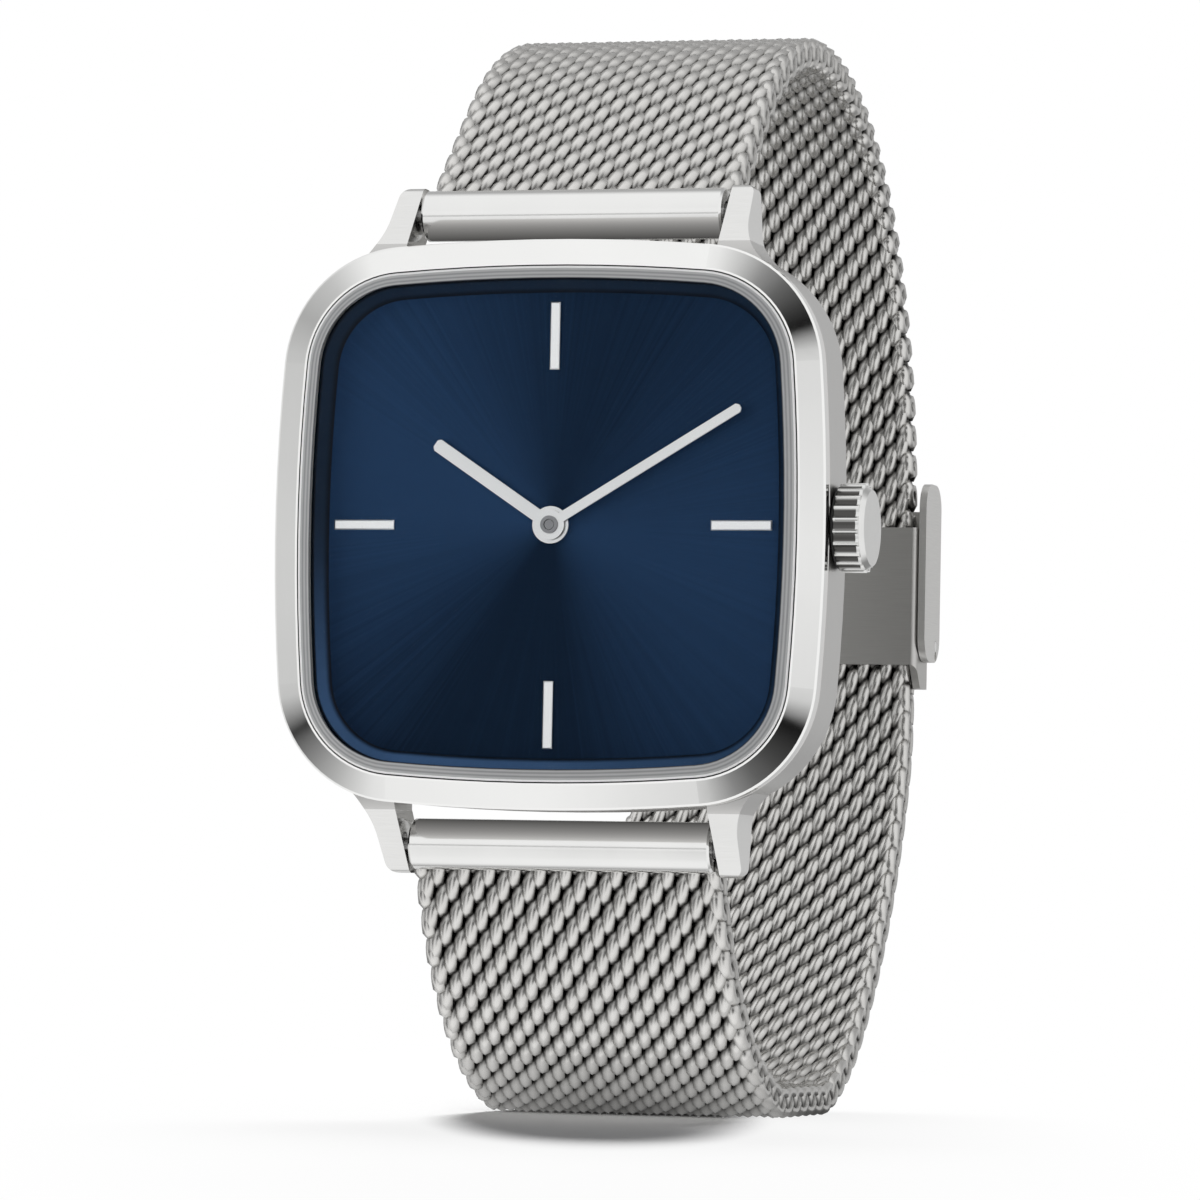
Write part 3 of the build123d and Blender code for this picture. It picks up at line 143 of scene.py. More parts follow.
class Shader:
    """Node tree of a material or of the surroundings, with one method that makes any node."""

    def __init__(self, name: str, surroundings: bool = False) -> None:
        """Start an empty tree.

        Args:
            name: the name of the material or world.
            surroundings: whether the tree belongs to a world.
        """
        made = bpy.data.worlds if surroundings else bpy.data.materials
        self.material = made.new(name)
        self.material.use_nodes = True
        self.tree = self.material.node_tree
        self.tree.nodes.clear()
        kind = "ShaderNodeOutputWorld" if surroundings else "ShaderNodeOutputMaterial"
        self.output = self.tree.nodes.new(kind)

    def node(
        self,
        kind: str,
        settings: dict[str, object] | None = None,
        inputs: "dict[str | int, object] | list[object] | None" = None,
    ) -> "dict[str, Socket]":
        """Make a node.

        Args:
            kind: Blender's type name of the node.
            settings: attributes of the node, set first; a ramp's stops go under "stops".
            inputs: numbers, colours or Sockets by input name or in order.

        Returns:
            The node's outputs by name.
        """
        made = self.tree.nodes.new(kind)
        for name, value in (settings or {}).items():
            if name == "stops":
                self.set_stops(made, value)
            else:
                setattr(made, name, value)
        pairs = inputs.items() if isinstance(inputs, dict) else enumerate(inputs or [])
        for key, value in pairs:
            if isinstance(value, Socket):
                self.tree.links.new(value.link, made.inputs[key])
            else:
                made.inputs[key].default_value = value
        return {out.name: Socket(self, out) for out in made.outputs if out.enabled}

    @staticmethod
    def set_stops(made: bpy.types.Node, stops: list[tuple[float, Colour]]) -> None:
        """Write the stops of a colour ramp.

        Args:
            made: the colour ramp's node.
            stops: place from nought to one and colour of each stop, in order.
        """
        elements = made.color_ramp.elements
        while len(elements) < len(stops):
            elements.new(0.5)
        for element, (place, colour) in zip(elements, stops):
            element.position = place
            element.color = (*colour, 1.0)

    def position(self) -> tuple[Socket, Socket, Socket]:
        """Object coordinates.

        Returns:
            Place across, behind and up, in metres from the frame's origin.
        """
        coordinates = self.node("ShaderNodeTexCoord")["Object"]
        parts = self.node("ShaderNodeSeparateXYZ", None, [coordinates])
        return parts["X"], parts["Y"], parts["Z"]

    def from_dial(self) -> tuple[Socket, Socket, Socket]:
        """Place measured from the middle of the dial.

        Returns:
            Place to the right, up, and out of the dial, in millimetres.
        """
        x, y, z = self.position()
        up, out = z - float(DIAL_CENTRE[2]), float(DIAL_CENTRE[1]) - y
        return x * PER_METRE, up * PER_METRE, out * PER_METRE

    def noise_at(self, place: Socket, scale: float, detail: float = 2.0) -> Socket:
        """Noise at a point.

        Args:
            place: the point, as a vector.
            scale: features per unit of the point's numbers.
            detail: octaves.

        Returns:
            The noise value, about one half on average.
        """
        inputs = {"Vector": place, "Scale": scale, "Detail": detail}
        return factor(self.node("ShaderNodeTexNoise", None, inputs))

    def noise(self, scale: float, stretch: Vector = (1, 1, 1), detail: float = 2.0) -> Socket:
        """Noise on object coordinates.

        Args:
            scale: features per metre.
            stretch: factor along each axis; small values draw the pattern out along that axis.
            detail: octaves.

        Returns:
            The noise value, about one half on average.
        """
        coordinates = self.node("ShaderNodeTexCoord")["Object"]
        placed = self.node("ShaderNodeMapping", None, {"Vector": coordinates, "Scale": stretch})["Vector"]
        return self.noise_at(placed, scale, detail)

    def mix(self, share: "Socket | float", low: "Colour | Socket", high: "Colour | Socket") -> Socket:
        """Blend two colours.

        Args:
            share: how much of the second colour, from nought to one.
            low: the colour at nought.
            high: the colour at one.

        Returns:
            The blended colour.
        """
        ends = [rgba(colour) if isinstance(colour, tuple) else colour for colour in (low, high)]
        made = self.tree.nodes.new("ShaderNodeMix")
        made.data_type = "RGBA"
        for slot, value in zip((0, 6, 7), (share, *ends)):
            if isinstance(value, Socket):
                self.tree.links.new(value.link, made.inputs[slot])
            else:
                made.inputs[slot].default_value = value
        return Socket(self, made.outputs[2])

    def bump(self, height: Socket, strength: float, distance: float) -> Socket:
        """Normal of a relief given by a height between nought and one.

        Args:
            height: the relief.
            strength: share of the full effect.
            distance: height of the full relief in metres.

        Returns:
            The tilted normal.
        """
        inputs = {"Strength": strength, "Distance": distance, "Height": height}
        return self.node("ShaderNodeBump", None, inputs)["Normal"]

    def surface(self, **inputs: object) -> Socket:
        """Principled shader with inputs named as on the node, spaces written as underscores."""
        named = {key.replace("_", " "): value for key, value in inputs.items()}
        return self.node("ShaderNodeBsdfPrincipled", None, named)["BSDF"]

    def finish(self, shader: Socket) -> "bpy.types.Material | bpy.types.World":
        """Link a shader to the output and return the material or world."""
        self.tree.links.new(shader.link, self.output.inputs["Surface"])
        return self.material


def rgba(colour: Colour) -> tuple[float, float, float, float]:
    """Opaque colour with its alpha."""
    return (*colour, 1.0)


def shaded(colour: Colour, share: float) -> Colour:
    """Colour times a share, no brighter than one."""
    return tuple(min(1.0, part * share) for part in colour)


# Finishes


@dataclass(frozen=True)
class PolishedSteel:
    """Mirror-polished steel with faint wipe marks.

    Haze and wipe are what cloudiness and marks add to the roughness. Scales are in features per
    metre, and relief is the share and the height in metres of the uneven face.
    """

    name: str = "polished_steel"
    colour: Colour = (0.86, 0.86, 0.85)
    rough: float = 0.1
    haze: float = 0.06
    haze_scale: float = 220.0
    haze_shade: float = 0.95
    wipe: float = 0.03
    wipe_scale: float = 2600.0
    wipe_stretch: Vector = (1.0, 1.0, 0.12)
    relief: Pair = (0.05, 0.00002)
    relief_scale: float = 900.0

    def material(self) -> bpy.types.Material:
        """Steel whose roughness wanders a little and whose face is very slightly uneven.

        Returns:
            The material.
        """
        shader = Shader(self.name)
        wander = shader.noise(self.haze_scale)
        marks = shader.noise(self.wipe_scale, self.wipe_stretch, 3.0)
        rough = self.rough + self.haze * wander + self.wipe * marks
        tone = shader.mix(wander, self.colour, shaded(self.colour, self.haze_shade))
        return shader.finish(
            shader.surface(
                Base_Color=tone,
                Metallic=1.0,
                Roughness=rough,
                Normal=shader.bump(shader.noise(self.relief_scale), *self.relief),
            )
        )


@dataclass(frozen=True)
class SatinSteel:
    """Steel brushed in one direction.

    The grain stretches the noise: small along the brushing. Shades are the factors of the colour
    in and between the lines, scales are in features per metre.
    """

    name: str = "satin_steel"
    colour: Colour = (0.62, 0.62, 0.61)
    rough: float = 0.34
    grain: Vector = (0.02, 0.02, 1.0)
    shades: Pair = (0.86, 1.1)
    line_scale: float = 26000.0
    line_rough: float = 0.1
    cloud_scale: float = 160.0
    cloud_rough: float = 0.05
    relief: Pair = (0.25, 0.000012)

    def material(self) -> bpy.types.Material:
        """Steel with fine lines drawn out along the brushing.

        Returns:
            The material.
        """
        shader = Shader(self.name)
        lines = shader.noise(self.line_scale, self.grain, 3.0)
        cloud = shader.noise(self.cloud_scale)
        dark, light = (shaded(self.colour, share) for share in self.shades)
        return shader.finish(
            shader.surface(
                Base_Color=shader.mix(lines, dark, light),
                Metallic=1.0,
                Roughness=self.rough + self.line_rough * lines + self.cloud_rough * cloud,
                Normal=shader.bump(lines, *self.relief),
            )
        )


@dataclass(frozen=True)
class CaseSteel:
    """Case band and lugs: a brushed flank, darker by painted shade, and paler satin lugs.

    Past the outline, in millimetres above and below the dial's middle, a lug begins.
    """

    name: str = "case_band_steel"
    colour: Colour = (0.84, 0.84, 0.83)
    flank: Colour = (0.6, 0.595, 0.585)
    outline: float = 16.03
    rough: float = 0.12
    flank_rough: float = 0.12
    line_scale: float = 22000.0
    line_stretch: Vector = (0.03, 1.0, 0.03)
    line_rough: float = 0.08
    line_share: float = 0.35
    cloud_scale: float = 200.0
    cloud_rough: float = 0.05
    cloud_share: float = 0.2
    relief: Pair = (0.15, 0.00001)

    def material(self) -> bpy.types.Material:
        """Brushed along the band inside the case outline and polished on the lugs.

        Returns:
            The material.
        """
        shader = Shader(self.name)
        _, up, _ = shader.from_dial()
        lug = (abs(up) > self.outline).ramp(0.0, 1.0)
        lines = shader.noise(self.line_scale, self.line_stretch, 3.0)
        cloud = shader.noise(self.cloud_scale)
        brushed = (1 - lug) * (self.flank_rough + self.line_rough * lines)
        wear = self.line_share * lines + self.cloud_share * cloud
        # the flank is brushed, and its darker colour is painted shade on the case's sides
        tone = shader.mix(lug, self.flank, self.colour)
        return shader.finish(
            shader.surface(
                Base_Color=shader.mix(wear, tone, self.flank),
                Metallic=1.0,
                Roughness=self.rough + self.cloud_rough * cloud + brushed,
                Normal=shader.bump(lines * (1 - lug), *self.relief),
            )
        )


@dataclass(frozen=True)
class CrownSteel:
    """Polished crown with painted shade in its flutes.

    In millimetres: the depth of the crown's axis behind the dial, how far right the flutes end,
    and the radius at the bottom and top of a flute.
    """

    name: str = "crown_steel"
    colour: Colour = (0.78, 0.78, 0.77)
    shade: Colour = (0.04, 0.038, 0.036)
    depth: float = 2.1
    flute_end: float = 17.5
    flute: Pair = (2.35, 2.47)
    wear: Colour = (0.5, 0.5, 0.49)
    wear_scale: float = 1500.0
    wear_stretch: Vector = (0.05, 1.0, 1.0)
    wear_share: float = 0.2
    rough: Pair = (0.1, 0.08)
    relief: Pair = (0.06, 0.00001)

    def material(self) -> bpy.types.Material:
        """Steel with painted shade towards the bottom of the flutes, by its distance from the crown's axis.

        Returns:
            The material.
        """
        shader = Shader(self.name)
        right, up, out = shader.from_dial()
        radius = (up * up + (out + self.depth) * (out + self.depth)) ** 0.5
        # painted shade: darker towards the bottom of the flutes
        flute = (1 - radius.ramp(*self.flute)) * (right < self.flute_end)
        speck = shader.noise(self.wear_scale, self.wear_stretch)
        tone = shader.mix(flute, self.colour, self.shade)
        return shader.finish(
            shader.surface(
                Base_Color=shader.mix(self.wear_share * speck, tone, self.wear),
                Metallic=1.0,
                Roughness=self.rough[0] + self.rough[1] * speck,
                Normal=shader.bump(speck, *self.relief),
            )
        )


@dataclass(frozen=True)
class WovenSteel:
    """Polished wire with painted shade down between the turns.

    The lit span is the share of half the thickness over which the tone rises from painted shade to its
    full.
    """

    name: str = "woven_steel"
    colour: Colour = (0.78, 0.77, 0.75)
    painted_depth_shade: Colour = (0.065, 0.064, 0.061)
    lit: Pair = (0.45, 1.0)
    wear: Colour = (0.3, 0.29, 0.28)
    wear_scale: float = 700.0
    wear_share: float = 0.12
    rough: float = 0.2
    wear_rough: float = 0.1
    depth_rough: float = 0.2
    relief: Pair = (0.08, 0.00003)
    relief_scale: float = 5000.0

    def material(self) -> bpy.types.Material:
        """Wire whose tone falls with its depth in the weave as painted shade, read from the mesh.

        Returns:
            The material.
        """
        shader = Shader(self.name)
        depth = shader.node("ShaderNodeAttribute", {"attribute_name": "depth"})["Fac"]
        # painted shade: the tone falls with the wire's depth in the weave
        shade = depth.ramp(*self.lit)
        wander = shader.noise(self.wear_scale)
        tone = shader.mix(shade, self.painted_depth_shade, self.colour)
        return shader.finish(
            shader.surface(
                Base_Color=shader.mix(self.wear_share * wander, tone, self.wear),
                Metallic=1.0,
                Roughness=self.rough + self.wear_rough * wander + self.depth_rough * (1 - shade),
                Normal=shader.bump(shader.noise(self.relief_scale), *self.relief),
            )
        )


@dataclass(frozen=True)
class DialLacquer:
    """Blue lacquer over a face brushed in rays from the centre.

    The fans of painted reflection turn by their angle clockwise from the right; the lean, a painted
    light, brightens one side, at an angle turned anticlockwise from the right. Rays are fainter
    within the calm radius, in millimetres.
    """

    name: str = "dial_lacquer"
    light: Colour = (0.0195, 0.0485, 0.11)
    dark: Colour = (0.006, 0.0148, 0.032)
    painted_sheen_angle: float = radians(15.0)
    fan_power: float = 0.85
    fan_share: float = 0.94
    lean: float = 0.14
    lean_angle: float = radians(115.0)
    ray_counts: Pair = (48.0, 125.0)
    ray_shares: Pair = (0.3, 0.4)
    calm: float = 9.0
    rough: Pair = (0.42, 0.1)
    gloss: float = 0.02
    relief: Pair = (0.12, 0.00002)

    def material(self) -> bpy.types.Material:
        """Two light fans and two dark fans of painted reflection about the centre, with fine rays over
        them.

        The fans are a cosine of twice the angle. The rays' share grows with the distance from the
        centre.

        Returns:
            The material.
        """
        shader = Shader(self.name)
        right, up, _ = shader.from_dial()
        angle = up.angle_to(right)
        reach = (right * right + up * up) ** 0.5
        # painted reflection: light and dark fans and a brighter side stand in for the sheen of the rayed
        # face; the fine rays are its brushing
        fans = 0.5 + 0.5 * ((angle + self.painted_sheen_angle) * 2).cos()
        lean = self.lean * (angle - self.lean_angle).cos()
        wide, fine = (self._rays(shader, angle, count) for count in self.ray_counts)
        rays = wide * 0.5 + fine * 0.5
        ray_share = self.ray_shares[0] + self.ray_shares[1] * reach.ramp(0.0, self.calm)
        share = ((fans + lean) ** self.fan_power * self.fan_share + (rays - 0.5) * ray_share).clamp()
        return shader.finish(
            shader.surface(
                Base_Color=shader.mix(share, self.dark, self.light),
                Metallic=0.0,
                Roughness=self.rough[0] + self.rough[1] * rays,
                Specular_IOR_Level=self.gloss,
                Normal=shader.bump(rays, *self.relief),
            )
        )

    @staticmethod
    def _rays(shader: Shader, angle: Socket, count: float) -> Socket:
        """Noise that changes with the angle alone, wrapped by its cosine and sine.

        Args:
            shader: the dial's shader.
            angle: the turn round the centre in radians.
            count: features per unit of the circle's radius.

        Returns:
            The noise value.
        """
        round_sine = (angle - radians(90.0)).cos()
        around = shader.node("ShaderNodeCombineXYZ", None, [angle.cos(), round_sine, 0.0])
        return shader.noise_at(around["Vector"], count)


@dataclass(frozen=True)
class RehautLacquer:
    """Satin blue of the sloping ring round the dial.

    Fade, foot and lip are in millimetres: where the painted shade deepens the blue from the bottom
    upwards, where the dark line of painted shade at the ring's foot ends, and where the one at its lip
    begins, out from the dial.
    """

    name: str = "rehaut_lacquer"
    top: Colour = (0.0085, 0.021, 0.043)
    bottom: Colour = (0.095, 0.2, 0.41)
    painted_line_shade: Colour = (0.003, 0.006, 0.012)
    slant: float = 0.3
    fade: Pair = (-20.0, -3.0)
    foot: Pair = (0.05, 0.36)
    lip: Pair = (0.74, 0.82)
    speck_scale: float = 3000.0
    speck_share: float = 0.15
    rough: Pair = (0.35, 0.1)
    gloss: float = 0.15
    relief: Pair = (0.1, 0.00001)

    def material(self) -> bpy.types.Material:
        """Blue with painted shade deepening it in the upper part of the ring, and dark lines of painted
        shade at its foot and lip.

        Returns:
            The material.
        """
        shader = Shader(self.name)
        right, up, out = shader.from_dial()
        # painted light and shade: paler towards the bottom of the ring, deeper blue above
        rise = (up + self.slant * right).ramp(*self.fade)
        speck = shader.noise(self.speck_scale)
        tone = shader.mix(rise, self.bottom, self.top)
        tone = shader.mix(self.speck_share * speck, tone, self.top)
        # painted shade: dark lines at the ring's foot and lip
        between = out.ramp(*self.foot) * (1 - out.ramp(*self.lip))
        return shader.finish(
            shader.surface(
                Base_Color=shader.mix(between, self.painted_line_shade, tone),
                Metallic=0.0,
                Roughness=self.rough[0] + self.rough[1] * speck,
                Specular_IOR_Level=self.gloss,
                Normal=shader.bump(speck, *self.relief),
            )
        )


@dataclass(frozen=True)
class ClearGlass:
    """Clear flat glass whose bevelled edge shows painted reflections: fine grey rings and two lines.

    Top is how far out of the dial the glass stands and drop the height of its bevel, in
    millimetres. Lines lie at shares of the way down the bevel. Flat is how squarely a face looks
    out between bevel and flat, bend is the glass's index and shine the share of its own gloss.
    """

    name: str = "crystal_glass"
    edge: Colour = (0.5, 0.505, 0.51)
    rings: Colour = (0.24, 0.245, 0.25)
    clear: Colour = (0.98, 0.985, 0.99)
    painted_dark_reflection: Colour = (0.02, 0.025, 0.035)
    painted_highlight_line: Colour = (0.9, 0.9, 0.9)
    dark_reflection_at: Pair = (0.02, 0.12)
    highlight_at: Pair = (0.8, 0.86)
    top: float = 1.6
    drop: float = 0.12
    ring_turns: float = 21.0
    ring_share: float = 0.7
    flat: Pair = (0.99, 0.999)
    smear_scale: float = 60.0
    smear: float = 0.04
    smear_shade: float = 0.3
    rough: Pair = (0.3, 0.05)
    bend: float = 1.2
    shine: float = 0.08

    def material(self) -> bpy.types.Material:
        """Transparent with a gloss that follows the angle of view, and painted reflections on the bevel.

        The share of the way down the bevel places a dark line of painted reflection at its inner edge,
        rings of painted reflection by a cosine in the middle, and a white line of painted highlight at
        its outer edge.

        Returns:
            The material.
        """
        shader = Shader(self.name)
        normal = shader.node("ShaderNodeNewGeometry")["Normal"]
        face = shader.node("ShaderNodeSeparateXYZ", None, [normal])["Y"]
        smear = shader.noise(self.smear_scale)
        bevel = (1 - abs(face).ramp(*self.flat)) * (1.0 - self.smear + self.smear * smear)
        _, _, out = shader.from_dial()
        down = (self.top - out) / self.drop
        # painted reflections and highlight on the bevel: grey rings, a dark line at its inner edge, a white
        # line at its outer edge
        rings = 0.5 + 0.5 * (down * self.ring_turns).cos()
        tone = shader.mix(rings * self.ring_share + self.smear_shade * smear, self.edge, self.rings)
        tone = shader.mix(down.ramp(*self.highlight_at), tone, self.painted_highlight_line)
        tone = shader.mix(down.ramp(*self.dark_reflection_at), self.painted_dark_reflection, tone)
        rough = self.rough[0] + self.rough[1] * smear
        gloss = shader.surface(Base_Color=tone, Metallic=0.0, Roughness=rough)
        clear = shader.node("ShaderNodeBsdfTransparent", None, [rgba(self.clear)])["BSDF"]
        shine = factor(shader.node("ShaderNodeFresnel", None, {"IOR": self.bend}))
        share = shine * self.shine + (1.0 - self.shine) * bevel
        both = shader.node("ShaderNodeMixShader", None, [share.clamp(), clear, gloss])["Shader"]
        return shader.finish(both)


@dataclass(frozen=True)
class Coating:
    """Any plain finish: a colour with fine mottling and relief."""

    name: str
    colour: Colour
    metal: float = 0.0
    rough: float = 0.4
    mottle: float = 0.15
    scale: float = 2400.0
    stretch: Vector = (1, 1, 1)
    mottle_rough: float = 0.12
    relief: Pair = (0.15, 0.00001)

    def material(self) -> bpy.types.Material:
        """Mottled colour and roughness with a slight relief.

        Returns:
            The material.
        """
        shader = Shader(self.name)
        pattern = shader.noise(self.scale, self.stretch, 3.0)
        low, high = shaded(self.colour, 1 - self.mottle), shaded(self.colour, 1 + self.mottle)
        return shader.finish(
            shader.surface(
                Base_Color=shader.mix(pattern, low, high),
                Metallic=self.metal,
                Roughness=self.rough + self.mottle_rough * pattern,
                Normal=shader.bump(pattern, *self.relief),
            )
        )


class Finish(Enum):
    """The finishes of the watch's pieces."""

    CASE = CaseSteel()
    POLISHED = PolishedSteel()
    BEZEL = PolishedSteel("bezel_steel", (0.9, 0.9, 0.89), 0.04, 0.04)
    CROWN = CrownSteel()
    HAND = PolishedSteel("hand_steel", (0.86, 0.86, 0.85), 0.24, 0.08)
    MARKER = Coating("marker_silver", (0.97, 0.97, 0.96), 0.8, 0.24, 0.02, 9000.0)
    BACK = SatinSteel("back_steel", (0.45, 0.45, 0.44), 0.3, (1.0, 1.0, 0.02))
    # clasp_steel and cover_steel are darker and paler copies of one satin steel: painted shade on the plate
    # inside the band, painted light on the cover
    CLASP = SatinSteel("clasp_steel", (0.56, 0.555, 0.54), 0.3, (0.02, 0.02, 1.0))
    COVER = SatinSteel("cover_steel", (0.76, 0.755, 0.74), 0.3, (0.02, 0.02, 1.0))
    SPRING = SatinSteel("spring_steel", (0.5, 0.5, 0.5), 0.3, (0.02, 1.0, 1.0))
    WEAVE = WovenSteel()
    DIAL = DialLacquer()
    REHAUT = RehautLacquer()
    GLASS = ClearGlass()
    RUBBER = Coating("rubber_black", (0.012, 0.012, 0.012), 0.0, 0.55, 0.3, 4000.0)
    BRASS = Coating("movement_brass", (0.72, 0.53, 0.24), 1.0, 0.3, 0.1, 9000.0, (0.05, 1.0, 1.0))
    PLASTIC = Coating("holder_plastic", (0.7, 0.7, 0.66), 0.0, 0.5, 0.06, 3000.0)
    CELL = Coating("cell_steel", (0.6, 0.6, 0.6), 1.0, 0.28, 0.08, 9000.0, (1.0, 1.0, 0.05))
    BOARD = Coating("board_green", (0.02, 0.16, 0.07), 0.0, 0.35, 0.25, 2500.0)
    COPPER = Coating("coil_copper", (0.75, 0.32, 0.13), 1.0, 0.3, 0.35, 16000.0, (1.0, 0.02, 0.02))
    IRON = Coating("soft_iron", (0.36, 0.36, 0.37), 1.0, 0.42, 0.15, 3000.0)


def placed(name: str, data: bpy.types.ID) -> bpy.types.Object:
    """New object in the scene.

    Args:
        name: its name.
        data: its mesh, lamp or camera.

    Returns:
        The object, at the origin.
    """
    made = bpy.data.objects.new(name, data)
    bpy.context.scene.collection.objects.link(made)
    return made


# The woven band


@dataclass
class StrapPath:
    """Middle of one band's thickness, run out from the tube it hangs on.

    The path is a straight run and arcs that each turn to a heading. Headings are in degrees away
    from straight out of the case, distances in millimetres behind the dial and out from its middle.
    The end is 1 for the upper band and -1 for the lower one, a leg is an arc's outer radius and the
    heading that it turns to, and the stop is how far above the dial's middle the band ends. The
    outer face passes the spring bar's middle by as much as it is proud, the last arc reaches back to
    the rear, and the lowest is the height at which the band rests.
    """

    end: int
    heading: float
    run: float
    legs: tuple[Pair, ...]
    stop: float
    bar_depth: float = 3.8
    bar_reach: float = 17.9
    proud: float = 0.43
    thickness: float = 1.9
    rear: float = 53.6
    lowest: float = 0.01
    starts: list[float] = field(init=False)
    pieces: list[tuple[float, float, float, float]] = field(init=False)
    length: float = field(init=False)

    def __post_init__(self) -> None:
        """Work out where each straight or arc begins, on the middle of the thickness."""
        half = self.thickness / 2
        turn = radians(self.heading)
        back = self.bar_depth - self.proud * cos(turn) + self.run * sin(turn)
        out = self.bar_reach + self.proud * sin(turn) + self.run * cos(turn)
        first = (back - self.run * sin(turn), out - self.run * cos(turn))
        self.pieces = [(first[0], first[1], turn, 0.0)]
        self.starts = [0.0]
        at = self.run
        for radius, next_heading in [*self.legs, (0.0, 180.0)]:
            next_turn = radians(next_heading)
            reach = radius or (self.rear - back) / (cos(turn) - cos(next_turn))
            self.pieces.append((back, out, turn, reach))
            self.starts.append(at)
            at += (reach - half) * (next_turn - turn)
            back += reach * (cos(turn) - cos(next_turn))
            out += reach * (sin(next_turn) - sin(turn))
            turn = next_turn
        self.pieces.append((back, out, turn, 0.0))
        self.starts.append(at)
        self.length = at + out - self.stop * self.end

    def at(self, s: np.ndarray) -> tuple[np.ndarray, np.ndarray]:
        """Points and outward directions at distances along the middle of the thickness.

        On an arc the heading grows by the distance over the radius at mid-thickness, and the outer
        face lies on the circle of the arc's radius; on a straight the outer face moves on by the
        distance. The point is half a thickness inside the outer face. Where the outer face would
        pass below the floor, the point is lifted so that the band rests flat.

        Args:
            s: distances in millimetres, any shape.

        Returns:
            Points and unit outward directions in the row's frame, shape of s plus 3, in millimetres.
        """
        half = self.thickness / 2
        which = np.clip(np.searchsorted(self.starts, s, side="right") - 1, 0, len(self.pieces) - 1)
        table = np.array(self.pieces)[which]
        local = s - np.array(self.starts)[which]
        back, out, turn, reach = (table[..., i] for i in range(4))
        arc = reach > 0
        safe = np.where(arc, reach, 1.0 + half)
        heading = turn + np.where(arc, local / (safe - half), 0.0)
        face_back = back + np.where(arc, safe * (np.cos(turn) - np.cos(heading)), local * np.sin(turn))
        face_out = out + np.where(arc, safe * (np.sin(heading) - np.sin(turn)), local * np.cos(turn))
        normal = np.stack([np.zeros_like(s), -np.cos(heading), self.end * np.sin(heading)], axis=-1)
        face = np.stack([np.zeros_like(s), face_back, self.end * face_out], axis=-1) + DIAL_CENTRE / MM
        face[..., 2] += np.maximum(0.0, self.lowest - face[..., 2])
        return face - half * normal, normal


def flattened(wave: np.ndarray, power: float) -> np.ndarray:
    """Wave with its size taken to a power and its sign kept."""
    return np.sign(wave) * np.abs(wave) ** power


